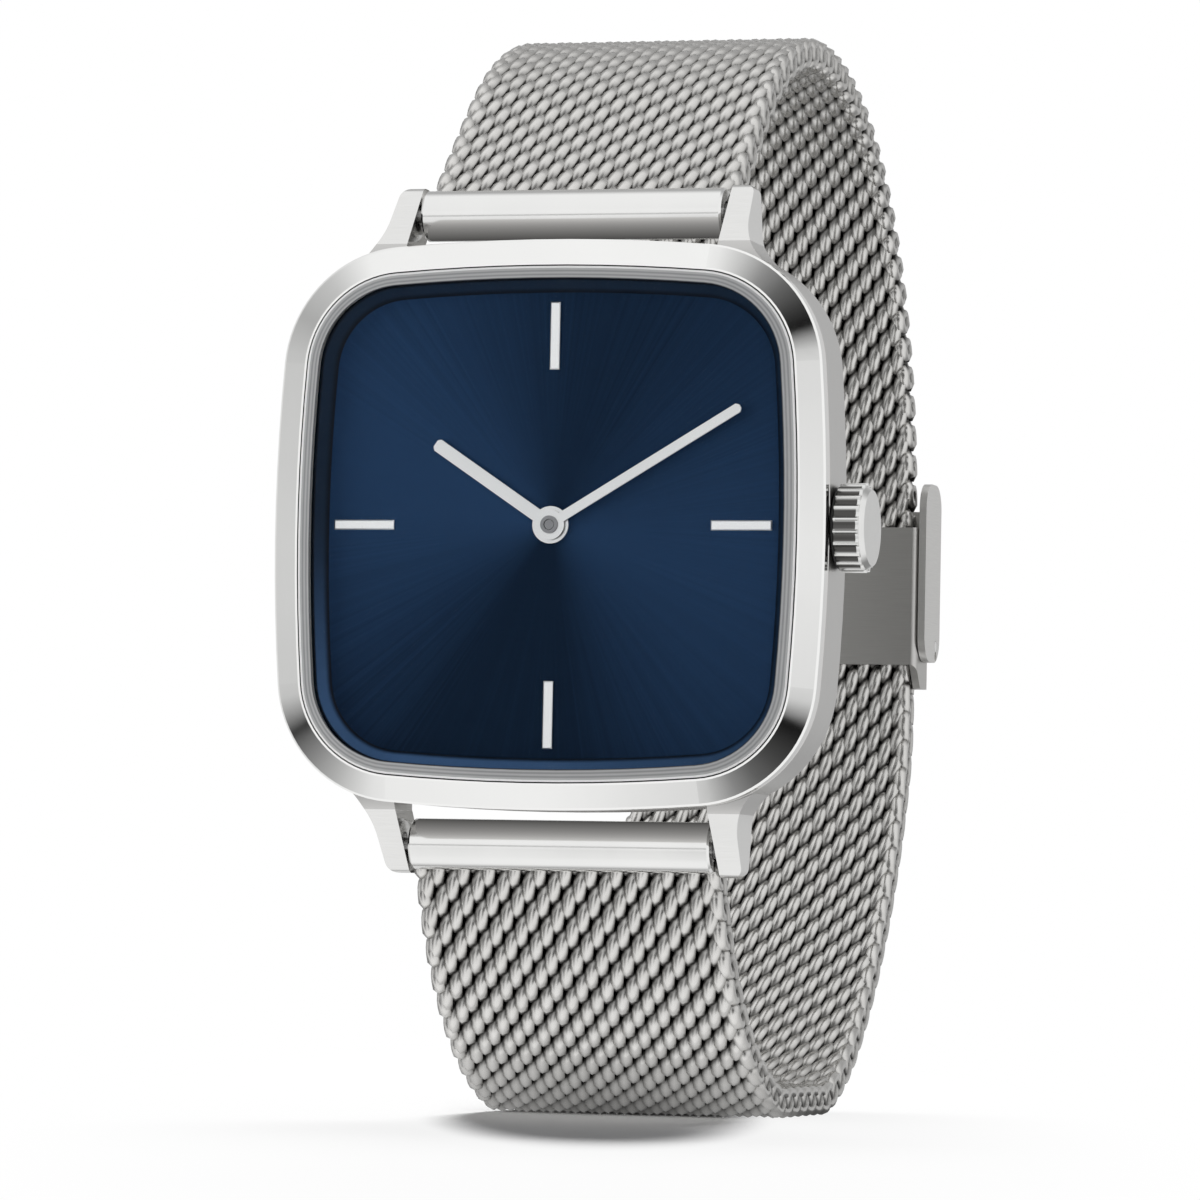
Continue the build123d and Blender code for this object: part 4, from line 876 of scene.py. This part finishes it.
@dataclass
class WovenBand:
    """Band of flat wire spirals, each turned through its neighbours.

    Sizes are in millimetres. Wire and spread are half the wire's thickness and half its width, row
    is the distance between spirals, and first and last are the distances of the outermost spirals
    from the path's ends. Stagger and overrun are in turns, powers shape the turns' crests, tip is
    the share of its size that the wire's last ring keeps, and side light the share of the full
    painted light that the wire gets at the band's edges.
    """

    name: str
    body: str
    node: str
    path: StrapPath
    width: float = 18.0
    wire: float = 0.34
    spread: float = 0.43
    pitch: float = 1.5
    row: float = 0.94
    reach: float = 0.98
    first: float = 0.7
    last: float = 0.9
    stagger: float = 0.4995
    overrun: float = 0.45
    depth_power: float = 0.75
    run_power: float = 0.9
    tip: float = 0.45
    steps: int = 14
    sides: int = 6
    painted_side_light: float = 0.95

    def centreline(self) -> tuple[np.ndarray, np.ndarray]:
        """Centre of every spiral's wire.

        The wire's phase grows by one each turn. It moves across the band by one pitch a turn, along
        the band by the reach times the cosine of the phase, and through the thickness by its sine,
        both flattened by taking their size to a power below one. Every second spiral is shifted by
        half a pitch. At the edges the crossing stops for the last half turn, which closes the loop.

        Returns:
            Points of shape (spirals, steps, 3) in millimetres, each point's distance from the middle
            of the thickness towards the outer face, and the outward direction there.
        """
        count = int((self.path.length - self.first - self.last) / self.row) + 1
        middles = np.linspace(self.first, self.path.length - self.last, count)
        edge = self.width / 2 - self.spread
        turns = 2 * edge / self.pitch
        phase = np.arange(-self.overrun, turns + self.overrun + 1e-6, 1 / self.steps)
        turn = 2 * np.pi * (phase + self.stagger * (np.arange(count) % 2)[:, None])
        across = -edge + self.pitch * np.clip(phase, 0.0, turns)
        along = middles[:, None] - self.reach * flattened(np.cos(turn), self.run_power)
        height = flattened(np.sin(turn), self.depth_power) * (self.path.thickness / 2 - self.wire)
        middle, outward = self.path.at(along)
        points = middle + outward * height[..., None]
        points[..., 0] += across * self.path.end
        return points, height, outward

    def build(self) -> bpy.types.Object:
        """Skin the spirals with round wire and hand the band over to its body.

        Each ring of the skin stands across the wire: its first direction is the wire's direction
        crossed with the direction across the band, its second is square to both and a little longer,
        as the rolled wire is flat. The last ring at each end is smaller, and what would pass below
        the floor lies on it. The attribute, which the wire's material turns into painted light and
        shade, is each point's height in the thickness as a share of half of it, or at the band's edges
        the share of the way over the outermost wire if larger.

        Returns:
            The band's object.
        """
        points, height, outward = self.centreline()
        count, steps, _ = points.shape
        ahead = np.gradient(points, axis=1)
        ahead /= np.linalg.norm(ahead, axis=-1, keepdims=True)
        first = np.cross(ahead, np.array([1.0, 0.0, 0.0]))
        first /= np.linalg.norm(first, axis=-1, keepdims=True)
        second = np.cross(first, ahead)
        angle = 2 * np.pi * np.arange(self.sides) / self.sides
        taper = np.ones(steps)
        taper[[0, -1]] = self.tip
        ring = (
            self.wire * np.cos(angle)[None, None, :, None] * first[:, :, None, :]
            + self.spread * np.sin(angle)[None, None, :, None] * second[:, :, None, :]
        )
        skin = points[:, :, None, :] + taper[None, :, None, None] * ring
        verts = skin.reshape(-1, 3)
        grid = np.arange(count * steps * self.sides).reshape(count, steps, self.sides)
        beside = np.roll(grid, -1, axis=2)
        quads = np.stack([grid[:, :-1], grid[:, 1:], beside[:, 1:], beside[:, :-1]], axis=-1).reshape(-1, 4)
        caps = [list(row) for row in grid[:, 0]] + [list(row[::-1]) for row in grid[:, -1]]
        verts[:, 2] = np.maximum(verts[:, 2], 0.0)
        mesh = bpy.data.meshes.new(self.name)
        mesh.from_pydata((verts * MM).tolist(), [], quads.tolist() + caps)
        # painted light and shade: height in the thickness, raised towards the band's edges as painted side
        # light
        rise = height[..., None] + np.einsum("spri,spi->spr", ring, outward)
        aside = (np.abs(skin[..., 0]) - self.width / 2 + self.spread) / self.spread
        share = np.maximum(np.abs(rise) / (self.path.thickness / 2), self.painted_side_light * aside)
        attribute = mesh.attributes.new("depth", "FLOAT", "POINT")
        attribute.data.foreach_set("value", share.reshape(-1).astype(np.float32))
        mesh.shade_smooth()
        band = placed(self.name, mesh)
        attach(band, self.body)
        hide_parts(self.node)
        return band


# Sub-assemblies


@dataclass
class Assembly:
    """A group of carried-over nodes and their finishes."""

    title: str
    finishes: dict[str, Finish]

    def dress(self, materials: dict[Finish, bpy.types.Material]) -> None:
        """Give each node its finish.

        Args:
            materials: the made material of every finish.
        """
        for node, finish in self.finishes.items():
            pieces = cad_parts[node]
            for piece in pieces if isinstance(pieces, list) else [pieces]:
                piece.data.materials.clear()
                piece.data.materials.append(materials[finish])
            log.info("%s: %s in %s", self.title, node, finish.value.name)


@dataclass
class Strap:
    """Both woven bands.

    Each leg is an arc's outer radius in millimetres and the heading in degrees that it turns to.
    """

    slot_name: str = "strap_steel"
    upper_legs: tuple[Pair, ...] = ((22.0, 90.0),)
    lower_legs: tuple[Pair, ...] = ((21.6, 84.0), (36.0, 96.0), (20.5, 128.0), (39.5, 158.0))

    def build(self, materials: dict[Finish, bpy.types.Material]) -> list[bpy.types.Object]:
        """Weave the two bands and dress them.

        Args:
            materials: the made material of every finish.

        Returns:
            The two bands.
        """
        lower = StrapPath(end=-1, heading=27.0, run=4.4, legs=self.lower_legs, stop=-2.6)
        upper = StrapPath(end=1, heading=49.0, run=11.0, legs=self.upper_legs, stop=0.3)
        bands = [
            WovenBand("upper_weave", "upper_strap", "upper_mesh_strap", upper).build(),
            WovenBand("lower_weave", "lower_strap", "lower_mesh_strap", lower).build(),
        ]
        for band in bands:
            band.data.materials.append(materials[Finish.WEAVE])
            log.info("strap: %s with %d faces", band.name, len(band.data.polygons))
        return bands


@dataclass
class CrownRing:
    """Black ring between the case and the crown, with the part of it inside the crown.

    In millimetres: the crown's axis in the frame, and the section as places to the right and radii.
    """

    body: str = "crown"
    axis: Vector = (0.0, -24.065, 33.388)
    profile: tuple[tuple[float, float], ...] = (
        (16.07, 0.92),
        (16.07, 2.25),
        (16.1, 2.3),
        (16.2, 2.3),
        (16.23, 2.25),
        (16.23, 1.2),
        (16.43, 1.2),
        (16.43, 1.33),
        (16.72, 1.33),
        (16.72, 0.92),
    )
    around: int = 96

    def build(self, materials: dict[Finish, bpy.types.Material]) -> bpy.types.Object:
        """Turn the profile about the crown's axis: up is the radius times the sine, back its cosine.

        Args:
            materials: the made material of every finish.

        Returns:
            The ring, which takes the gasket's place.
        """
        x, radius = np.array(self.profile).T
        angle = np.linspace(0, 2 * np.pi, self.around, endpoint=False)[:, None]
        right = np.broadcast_to(x, (self.around, len(x)))
        points = np.stack([right, radius * np.cos(angle), radius * np.sin(angle)], axis=-1)
        points = (points + np.array(self.axis)) * MM
        index = np.arange(self.around * len(x)).reshape(self.around, len(x))
        beside, after = np.roll(index, -1, axis=0), np.roll(index, -1, axis=1)
        both = np.roll(beside, -1, axis=1)
        faces = np.stack([index, beside, both, after], axis=-1).reshape(-1, 4)
        mesh = bpy.data.meshes.new("crown_ring")
        mesh.from_pydata(points.reshape(-1, 3).tolist(), [], faces.tolist())
        mesh.materials.append(materials[Finish.RUBBER])
        made = placed("crown_ring", mesh)
        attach(made, self.body)
        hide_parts("crown_gasket")
        log.info("crown: ring with %d faces", len(faces))
        return made


def assemblies() -> list[Assembly]:
    """The watch's groups of nodes.

    Returns:
        The groups, with the finish of each node.
    """
    bars = {}
    for end in ("upper", "lower"):
        for piece in ("bar_shell", "bar_spring", "left_bar_tip", "right_bar_tip"):
            bars[f"{end}_{piece}"] = Finish.SPRING
    return [
        Assembly(
            "case",
            {
                "mid_case": Finish.CASE,
                "bezel": Finish.BEZEL,
                "crystal": Finish.GLASS,
                "crystal_gasket": Finish.RUBBER,
                "rehaut": Finish.REHAUT,
                "case_back": Finish.BACK,
                "back_gasket": Finish.RUBBER,
                "back_screws": Finish.HAND,
                "crown": Finish.CROWN,
                "crown_tube": Finish.POLISHED,
            },
        ),
        Assembly(
            "dial",
            {
                "dial": Finish.DIAL,
                "hour_markers": Finish.MARKER,
                "hour_hand": Finish.HAND,
                "minute_hand": Finish.HAND,
                # the pipe takes the dark iron finish, which also stands in as painted shade for the hole at
                # the hands' hub
                "cannon_pinion": Finish.IRON,
            },
        ),
        Assembly(
            "strap fittings",
            {
                "upper_end_tube": Finish.POLISHED,
                "lower_end_tube": Finish.POLISHED,
                "clasp_base": Finish.CLASP,
                "clasp_cover": Finish.COVER,
                "cover_hinge_pin": Finish.POLISHED,
                "lock_bar": Finish.CLASP,
                "strap_end_hook": Finish.SPRING,
                **bars,
            },
        ),
        Assembly(
            "movement",
            {
                "movement_holder": Finish.PLASTIC,
                "main_plate": Finish.BRASS,
                "train_bridge": Finish.BRASS,
                "movement_screws": Finish.HAND,
                "battery": Finish.CELL,
                "battery_clamp": Finish.SPRING,
                "circuit_board": Finish.BOARD,
                "quartz_can": Finish.CELL,
                "coil": Finish.COPPER,
                "coil_core": Finish.IRON,
                "stator": Finish.IRON,
                "rotor_magnet": Finish.IRON,
                "rotor_pinion": Finish.SPRING,
                "intermediate_wheel": Finish.BRASS,
                "centre_wheel": Finish.IRON,
                "minute_wheel": Finish.BRASS,
                "hour_wheel": Finish.BRASS,
                "setting_wheel": Finish.BRASS,
                "winding_stem": Finish.SPRING,
                "sliding_pinion": Finish.SPRING,
                "setting_lever": Finish.SPRING,
            },
        ),
    ]


# Studio and camera


@dataclass(frozen=True)
class Lamp:
    """Rectangular soft lamp.

    Its middle, width and height are in metres. The tone is how bright its face looks, where one is
    white.
    """

    name: str
    place: Vector
    size: Pair
    tone: float

    def build(self, aim: Vector) -> None:
        """Make the lamp.

        Args:
            aim: the point it faces, in metres.
        """
        light = bpy.data.lights.new(self.name, "AREA")
        light.shape = "RECTANGLE"
        light.size, light.size_y = self.size
        light.energy = self.tone * pi * self.size[0] * self.size[1]
        made = placed(self.name, light)
        made.matrix_world = facing(np.array(self.place), np.array(aim))
        made.visible_glossy = False


@dataclass
class Studio:
    """White floor that keeps a shadow, surroundings with dark corners, soft lamps and three cards of
    painted shade.

    The camera looks along (-view_aside, view_ahead, view_rise), and the flat dial mirrors what lies
    along (-view_aside, -view_ahead, view_rise). Fades, the foot's shift across the view, and the
    painted shadow of the card under the strap are in metres on the floor, the cards' other sizes in
    millimetres, and spans of the dome in parts of a unit direction. Corners pairs the turn in
    degrees round the mirrored direction, from the right upwards, with the tone there.
    """

    view_aside: float = 0.267
    view_ahead: float = 0.964
    view_rise: float = 0.053
    floor_size: float = 6.0
    floor_colour: Colour = (0.95, 0.95, 0.95)
    foot_shift: float = 0.004
    fade_start: float = 0.05
    fade_end: float = 0.075
    fade_far: float = 0.25
    fade_share: float = 0.87
    narrow: float = 7.0
    fill: float = 0.03
    back_span: Pair = (0.05, 0.6)
    back_shade: float = 0.36
    high_span: Pair = (0.2, 0.7)
    high_shade: float = 0.18
    low_span: Pair = (0.1, 0.5)
    low_shade: float = 0.34
    ring_inner: Pair = (0.2, 0.4)
    ring_outer: Pair = (0.8, 1.0)
    ring_front: Pair = (0.0, 0.15)
    line_tone: float = 0.45
    line_drop: float = 0.07
    line_edge: Pair = (0.02, 0.06)
    line_end: Pair = (0.2, 0.35)
    line_front: Pair = (0.0, 0.1)
    aim: Vector = (0.0, -0.01, 0.033)
    lamps: tuple[Lamp, ...] = (
        Lamp("lamp_left", (-0.75, -0.6, 0.2), (0.6, 0.5), 4.0),
        Lamp("lamp_right", (0.35, -0.9, 0.14), (0.3, 0.4), 8.5),
        Lamp("lamp_behind", (-0.115, 0.4, 0.55), (0.3, 0.3), 19.0),
    )
    gap_card: tuple[Pair, ...] = ((-8.7, 4.2), (8.7, 4.2), (8.7, -0.9), (-8.7, -0.9))
    gap_reach: float = 16.2
    gap_span: Pair = (-5.0, 1.2)
    painted_gap_shade_tones: tuple[Colour, Colour] = ((0.03, 0.029, 0.028), (0.62, 0.61, 0.6))
    under_card: tuple[Pair, ...] = ((-21, -14), (21, -14), (21, 22), (-21, 22))
    under_height: float = 0.03
    under_behind: float = 0.004
    under_span: Pair = (0.006, 0.021)
    painted_under_shadow_tones: tuple[Colour, Colour] = ((0.03, 0.03, 0.03), (0.8, 0.8, 0.8))
    corners: tuple[Pair, ...] = (
        (-180, 0.7),
        (-168, 0.6),
        (-160, 0.34),
        (-152, 0.03),
        (-146, 0.15),
        (-136, 0.28),
        (-122, 0.5),
        (-106, 0.82),
        (-91, 1.0),
        (-77, 0.52),
        (-66, 0.26),
        (-55, 0.13),
        (-44, 0.07),
        (-32, 0.03),
        (-23, 0.0),
        (-19, 0.3),
        (-12, 0.66),
        (0, 0.92),
        (12, 0.7),
        (19, 0.34),
        (24, 0.0),
        (34, 0.05),
        (46, 0.14),
        (57, 0.3),
        (70, 0.66),
        (84, 1.0),
        (110, 0.98),
        (130, 0.6),
        (150, 0.45),
        (180, 0.7),
    )

    def floor(self) -> bpy.types.Object:
        """Floor that takes the watch's shadow and turns to pure white away from it.

        The distance from the watch's foot counts several times across the view. The floor turns
        white fast up to the fade's end, and the little that is left is gone at its far end.

        Returns:
            The floor.
        """
        half = self.floor_size / 2
        mesh = bpy.data.meshes.new("studio_floor")
        corners = [(-half, -half, 0), (half, -half, 0), (half, half, 0), (-half, half, 0)]
        mesh.from_pydata(corners, [], [(0, 1, 2, 3)])
        shader = Shader("studio_floor")
        x, y, _ = shader.position()
        across = (self.view_ahead * x + self.view_aside * y + self.foot_shift) * self.narrow
        along = self.view_ahead * y - self.view_aside * x
        radius = (across * across + along * along) ** 0.5
        near = radius.ramp(self.fade_start, self.fade_end)
        far = radius.ramp(self.fade_end, self.fade_far)
        away = near * self.fade_share + far * (1 - self.fade_share)
        rays = shader.node("ShaderNodeLightPath")
        seen = (rays["Is Camera Ray"] + rays["Is Glossy Ray"] + rays["Is Transmission Ray"]).clamp()
        matt = shader.node("ShaderNodeBsdfDiffuse", None, [rgba(self.floor_colour)])["BSDF"]
        glow = shader.node("ShaderNodeEmission", None, [rgba(WHITE), 1.0])["Emission"]
        both = shader.node("ShaderNodeMixShader", None, [seen * away, matt, glow])
        mesh.materials.append(shader.finish(both["Shader"]))
        plane = placed("studio_floor", mesh)
        plane.visible_glossy = False
        return plane

    def world(self) -> None:
        """Surroundings: white to the camera, an even fill for the light, a toned dome for reflections.

        The dome is toned by direction. It is grey behind the watch, most of all low down. In front
        its tone follows the turn round the direction that the dial mirrors, as the corners of the
        bezel show, and a thin grey line crosses below that direction.
        """
        shader = Shader("studio_world", surroundings=True)
        direction = shader.node("ShaderNodeTexCoord")["Generated"]
        parts = shader.node("ShaderNodeSeparateXYZ", None, [direction])
        x, y, z = parts["X"], parts["Y"], parts["Z"]
        high = self.high_shade * z.ramp(*self.high_span)
        low = self.low_shade * (0 - z).ramp(*self.low_span)
        dome = 1 - y.ramp(*self.back_span) * (self.back_shade + high + low)
        across, rise = x + self.view_aside, z - self.view_rise
        turn = rise.angle_to(across)
        stops = [((angle + 180) / 360, (tone, tone, tone)) for angle, tone in self.corners]
        ring = shader.node("ShaderNodeValToRGB", {"stops": stops}, [turn / (2 * pi) + 0.5])["Color"]
        reach = (across * across + rise * rise) ** 0.5
        share = reach.ramp(*self.ring_inner) * (1 - reach.ramp(*self.ring_outer))
        share = share * (0 - y).ramp(*self.ring_front)
        line = (1 - abs(z + self.line_drop).ramp(*self.line_edge)) * (1 - abs(across).ramp(*self.line_end))
        line = line * (0 - y).ramp(*self.line_front)
        grey = shader.node("ShaderNodeCombineXYZ", None, [dome, dome, dome])["Vector"]
        toned = shader.mix(share, grey, ring)
        toned = shader.mix(line * (1 - self.line_tone), toned, BLACK)
        rays = shader.node("ShaderNodeLightPath")
        lit = shader.mix(rays["Is Glossy Ray"], (self.fill, self.fill, self.fill), toned)
        seen = shader.mix(rays["Is Camera Ray"], lit, WHITE)
        background = shader.node("ShaderNodeBackground", None, [seen, 1.0])["Background"]
        bpy.context.scene.world = shader.finish(background)

    def painted_gap_shade(self, shader: Shader) -> Socket:
        """Painted shade: dark in the depth of a gap beside the case, paler towards the front."""
        _, _, out = shader.from_dial()
        return shader.mix(out.ramp(*self.gap_span), *self.painted_gap_shade_tones)

    def painted_under_shadow(self, shader: Shader) -> Socket:
        """Painted shadow: dark under the strap where it stands, paler outwards.

        Args:
            shader: the card's shader.

        Returns:
            The tone.
        """
        x, y, _ = shader.position()
        behind = y - self.under_behind
        return shader.mix(((x * x + behind * behind) ** 0.5).ramp(*self.under_span), *self.painted_under_shadow_tones)

    def card(self, name: str, corners: list[np.ndarray], tone: Callable[[Shader], Socket]) -> None:
        """Card of painted shade that only reflections see.

        Args:
            name: the card's name.
            corners: its four corners in millimetres.
            tone: makes the card's tone in its shader.
        """
        mesh = bpy.data.meshes.new(name)
        mesh.from_pydata([(MM * corner).tolist() for corner in corners], [], [(0, 1, 2, 3)])
        shader = Shader(name)
        black = {"Base_Color": rgba(BLACK), "Specular_IOR_Level": 0.0}
        glowing = shader.surface(**black, Emission_Color=tone(shader), Emission_Strength=1.0)
        mesh.materials.append(shader.finish(glowing))
        made = placed(name, mesh)
        for kind in ("camera", "diffuse", "shadow", "transmission"):
            setattr(made, f"visible_{kind}", False)

    def build(self) -> None:
        """Set up floor, surroundings, lamps and cards."""
        self.floor()
        self.world()
        for lamp in self.lamps:
            lamp.build(self.aim)
        # cards of painted shade beside the case, seen only in reflections, for the dark of the gaps between
        # case and tubes
        for name, end in (("card_upper", 1), ("card_lower", -1)):
            places = [(x, back, end * self.gap_reach) for x, back in self.gap_card]
            self.card(name, [DIAL_CENTRE / MM + place for place in places], self.painted_gap_shade)
        # card of painted shadow under the strap, seen only in reflections, for the floor's shadow there
        under = [np.array([*corner, self.under_height]) for corner in self.under_card]
        self.card("card_under", under, self.painted_under_shadow)
        log.info("studio: floor, surroundings, %d lamps and three cards", len(self.lamps))


def facing(place: np.ndarray, aim: np.ndarray) -> Matrix:
    """Matrix of something whose local -Z looks at a point and whose local X is level.

    Args:
        place: where it stands, in metres.
        aim: the point, in metres.

    Returns:
        The matrix.
    """
    ahead = (aim - place) / np.linalg.norm(aim - place)
    across = np.cross(ahead, [0.0, 0.0, 1.0])
    across /= np.linalg.norm(across)
    up = np.cross(across, ahead)
    turn = np.eye(4)
    turn[:3, 0], turn[:3, 1], turn[:3, 2], turn[:3, 3] = across, up, -ahead, place
    return Matrix(turn.tolist())


@dataclass
class Camera:
    """The photograph's camera, given from the middle of the dial in millimetres and degrees.

    The nearest and the farthest that it sees are in metres.
    """

    azimuth: float = 15.494
    elevation: float = -3.064
    roll: float = 1.131
    distance: float = 360.0
    aim: Vector = (2.888, 0.0, -4.189)
    lens: float = 193.25
    sensor: float = 36.0
    nearest: float = 0.01
    farthest: float = 50.0

    def build(self) -> bpy.types.Object:
        """Make the camera and use it for the scene.

        Returns:
            The camera.
        """
        turn, rise, roll = radians(self.azimuth), radians(self.elevation), radians(self.roll)
        back = np.array([sin(turn) * cos(rise), -cos(turn) * cos(rise), sin(rise)])
        centre = DIAL_CENTRE + MM * (np.array(self.aim) + self.distance * back)
        right = np.cross(-back, [0.0, 0.0, 1.0])
        right /= np.linalg.norm(right)
        up = np.cross(right, -back)
        matrix = np.eye(4)
        matrix[:3, 0] = cos(roll) * right + sin(roll) * up
        matrix[:3, 1] = -sin(roll) * right + cos(roll) * up
        matrix[:3, 2] = back
        matrix[:3, 3] = centre
        data = bpy.data.cameras.new("camera")
        data.lens = self.lens
        data.sensor_width = self.sensor
        data.clip_start = self.nearest
        data.clip_end = self.farthest
        made = placed("camera", data)
        made.matrix_world = Matrix(matrix.tolist())
        bpy.context.scene.camera = made
        return made


def main() -> None:
    """Build the watch's woven bands, dress every piece, and set the studio and the camera."""
    logging.basicConfig(level=logging.INFO, format="%(name)s %(message)s")
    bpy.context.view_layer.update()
    materials = {finish: finish.value.material() for finish in Finish}
    for assembly in assemblies():
        assembly.dress(materials)
    Strap().build(materials)
    CrownRing().build(materials)
    Studio().build()
    Camera().build()
    bpy.context.scene.view_settings.view_transform = "Standard"


if __name__ == "__main__":
    main()
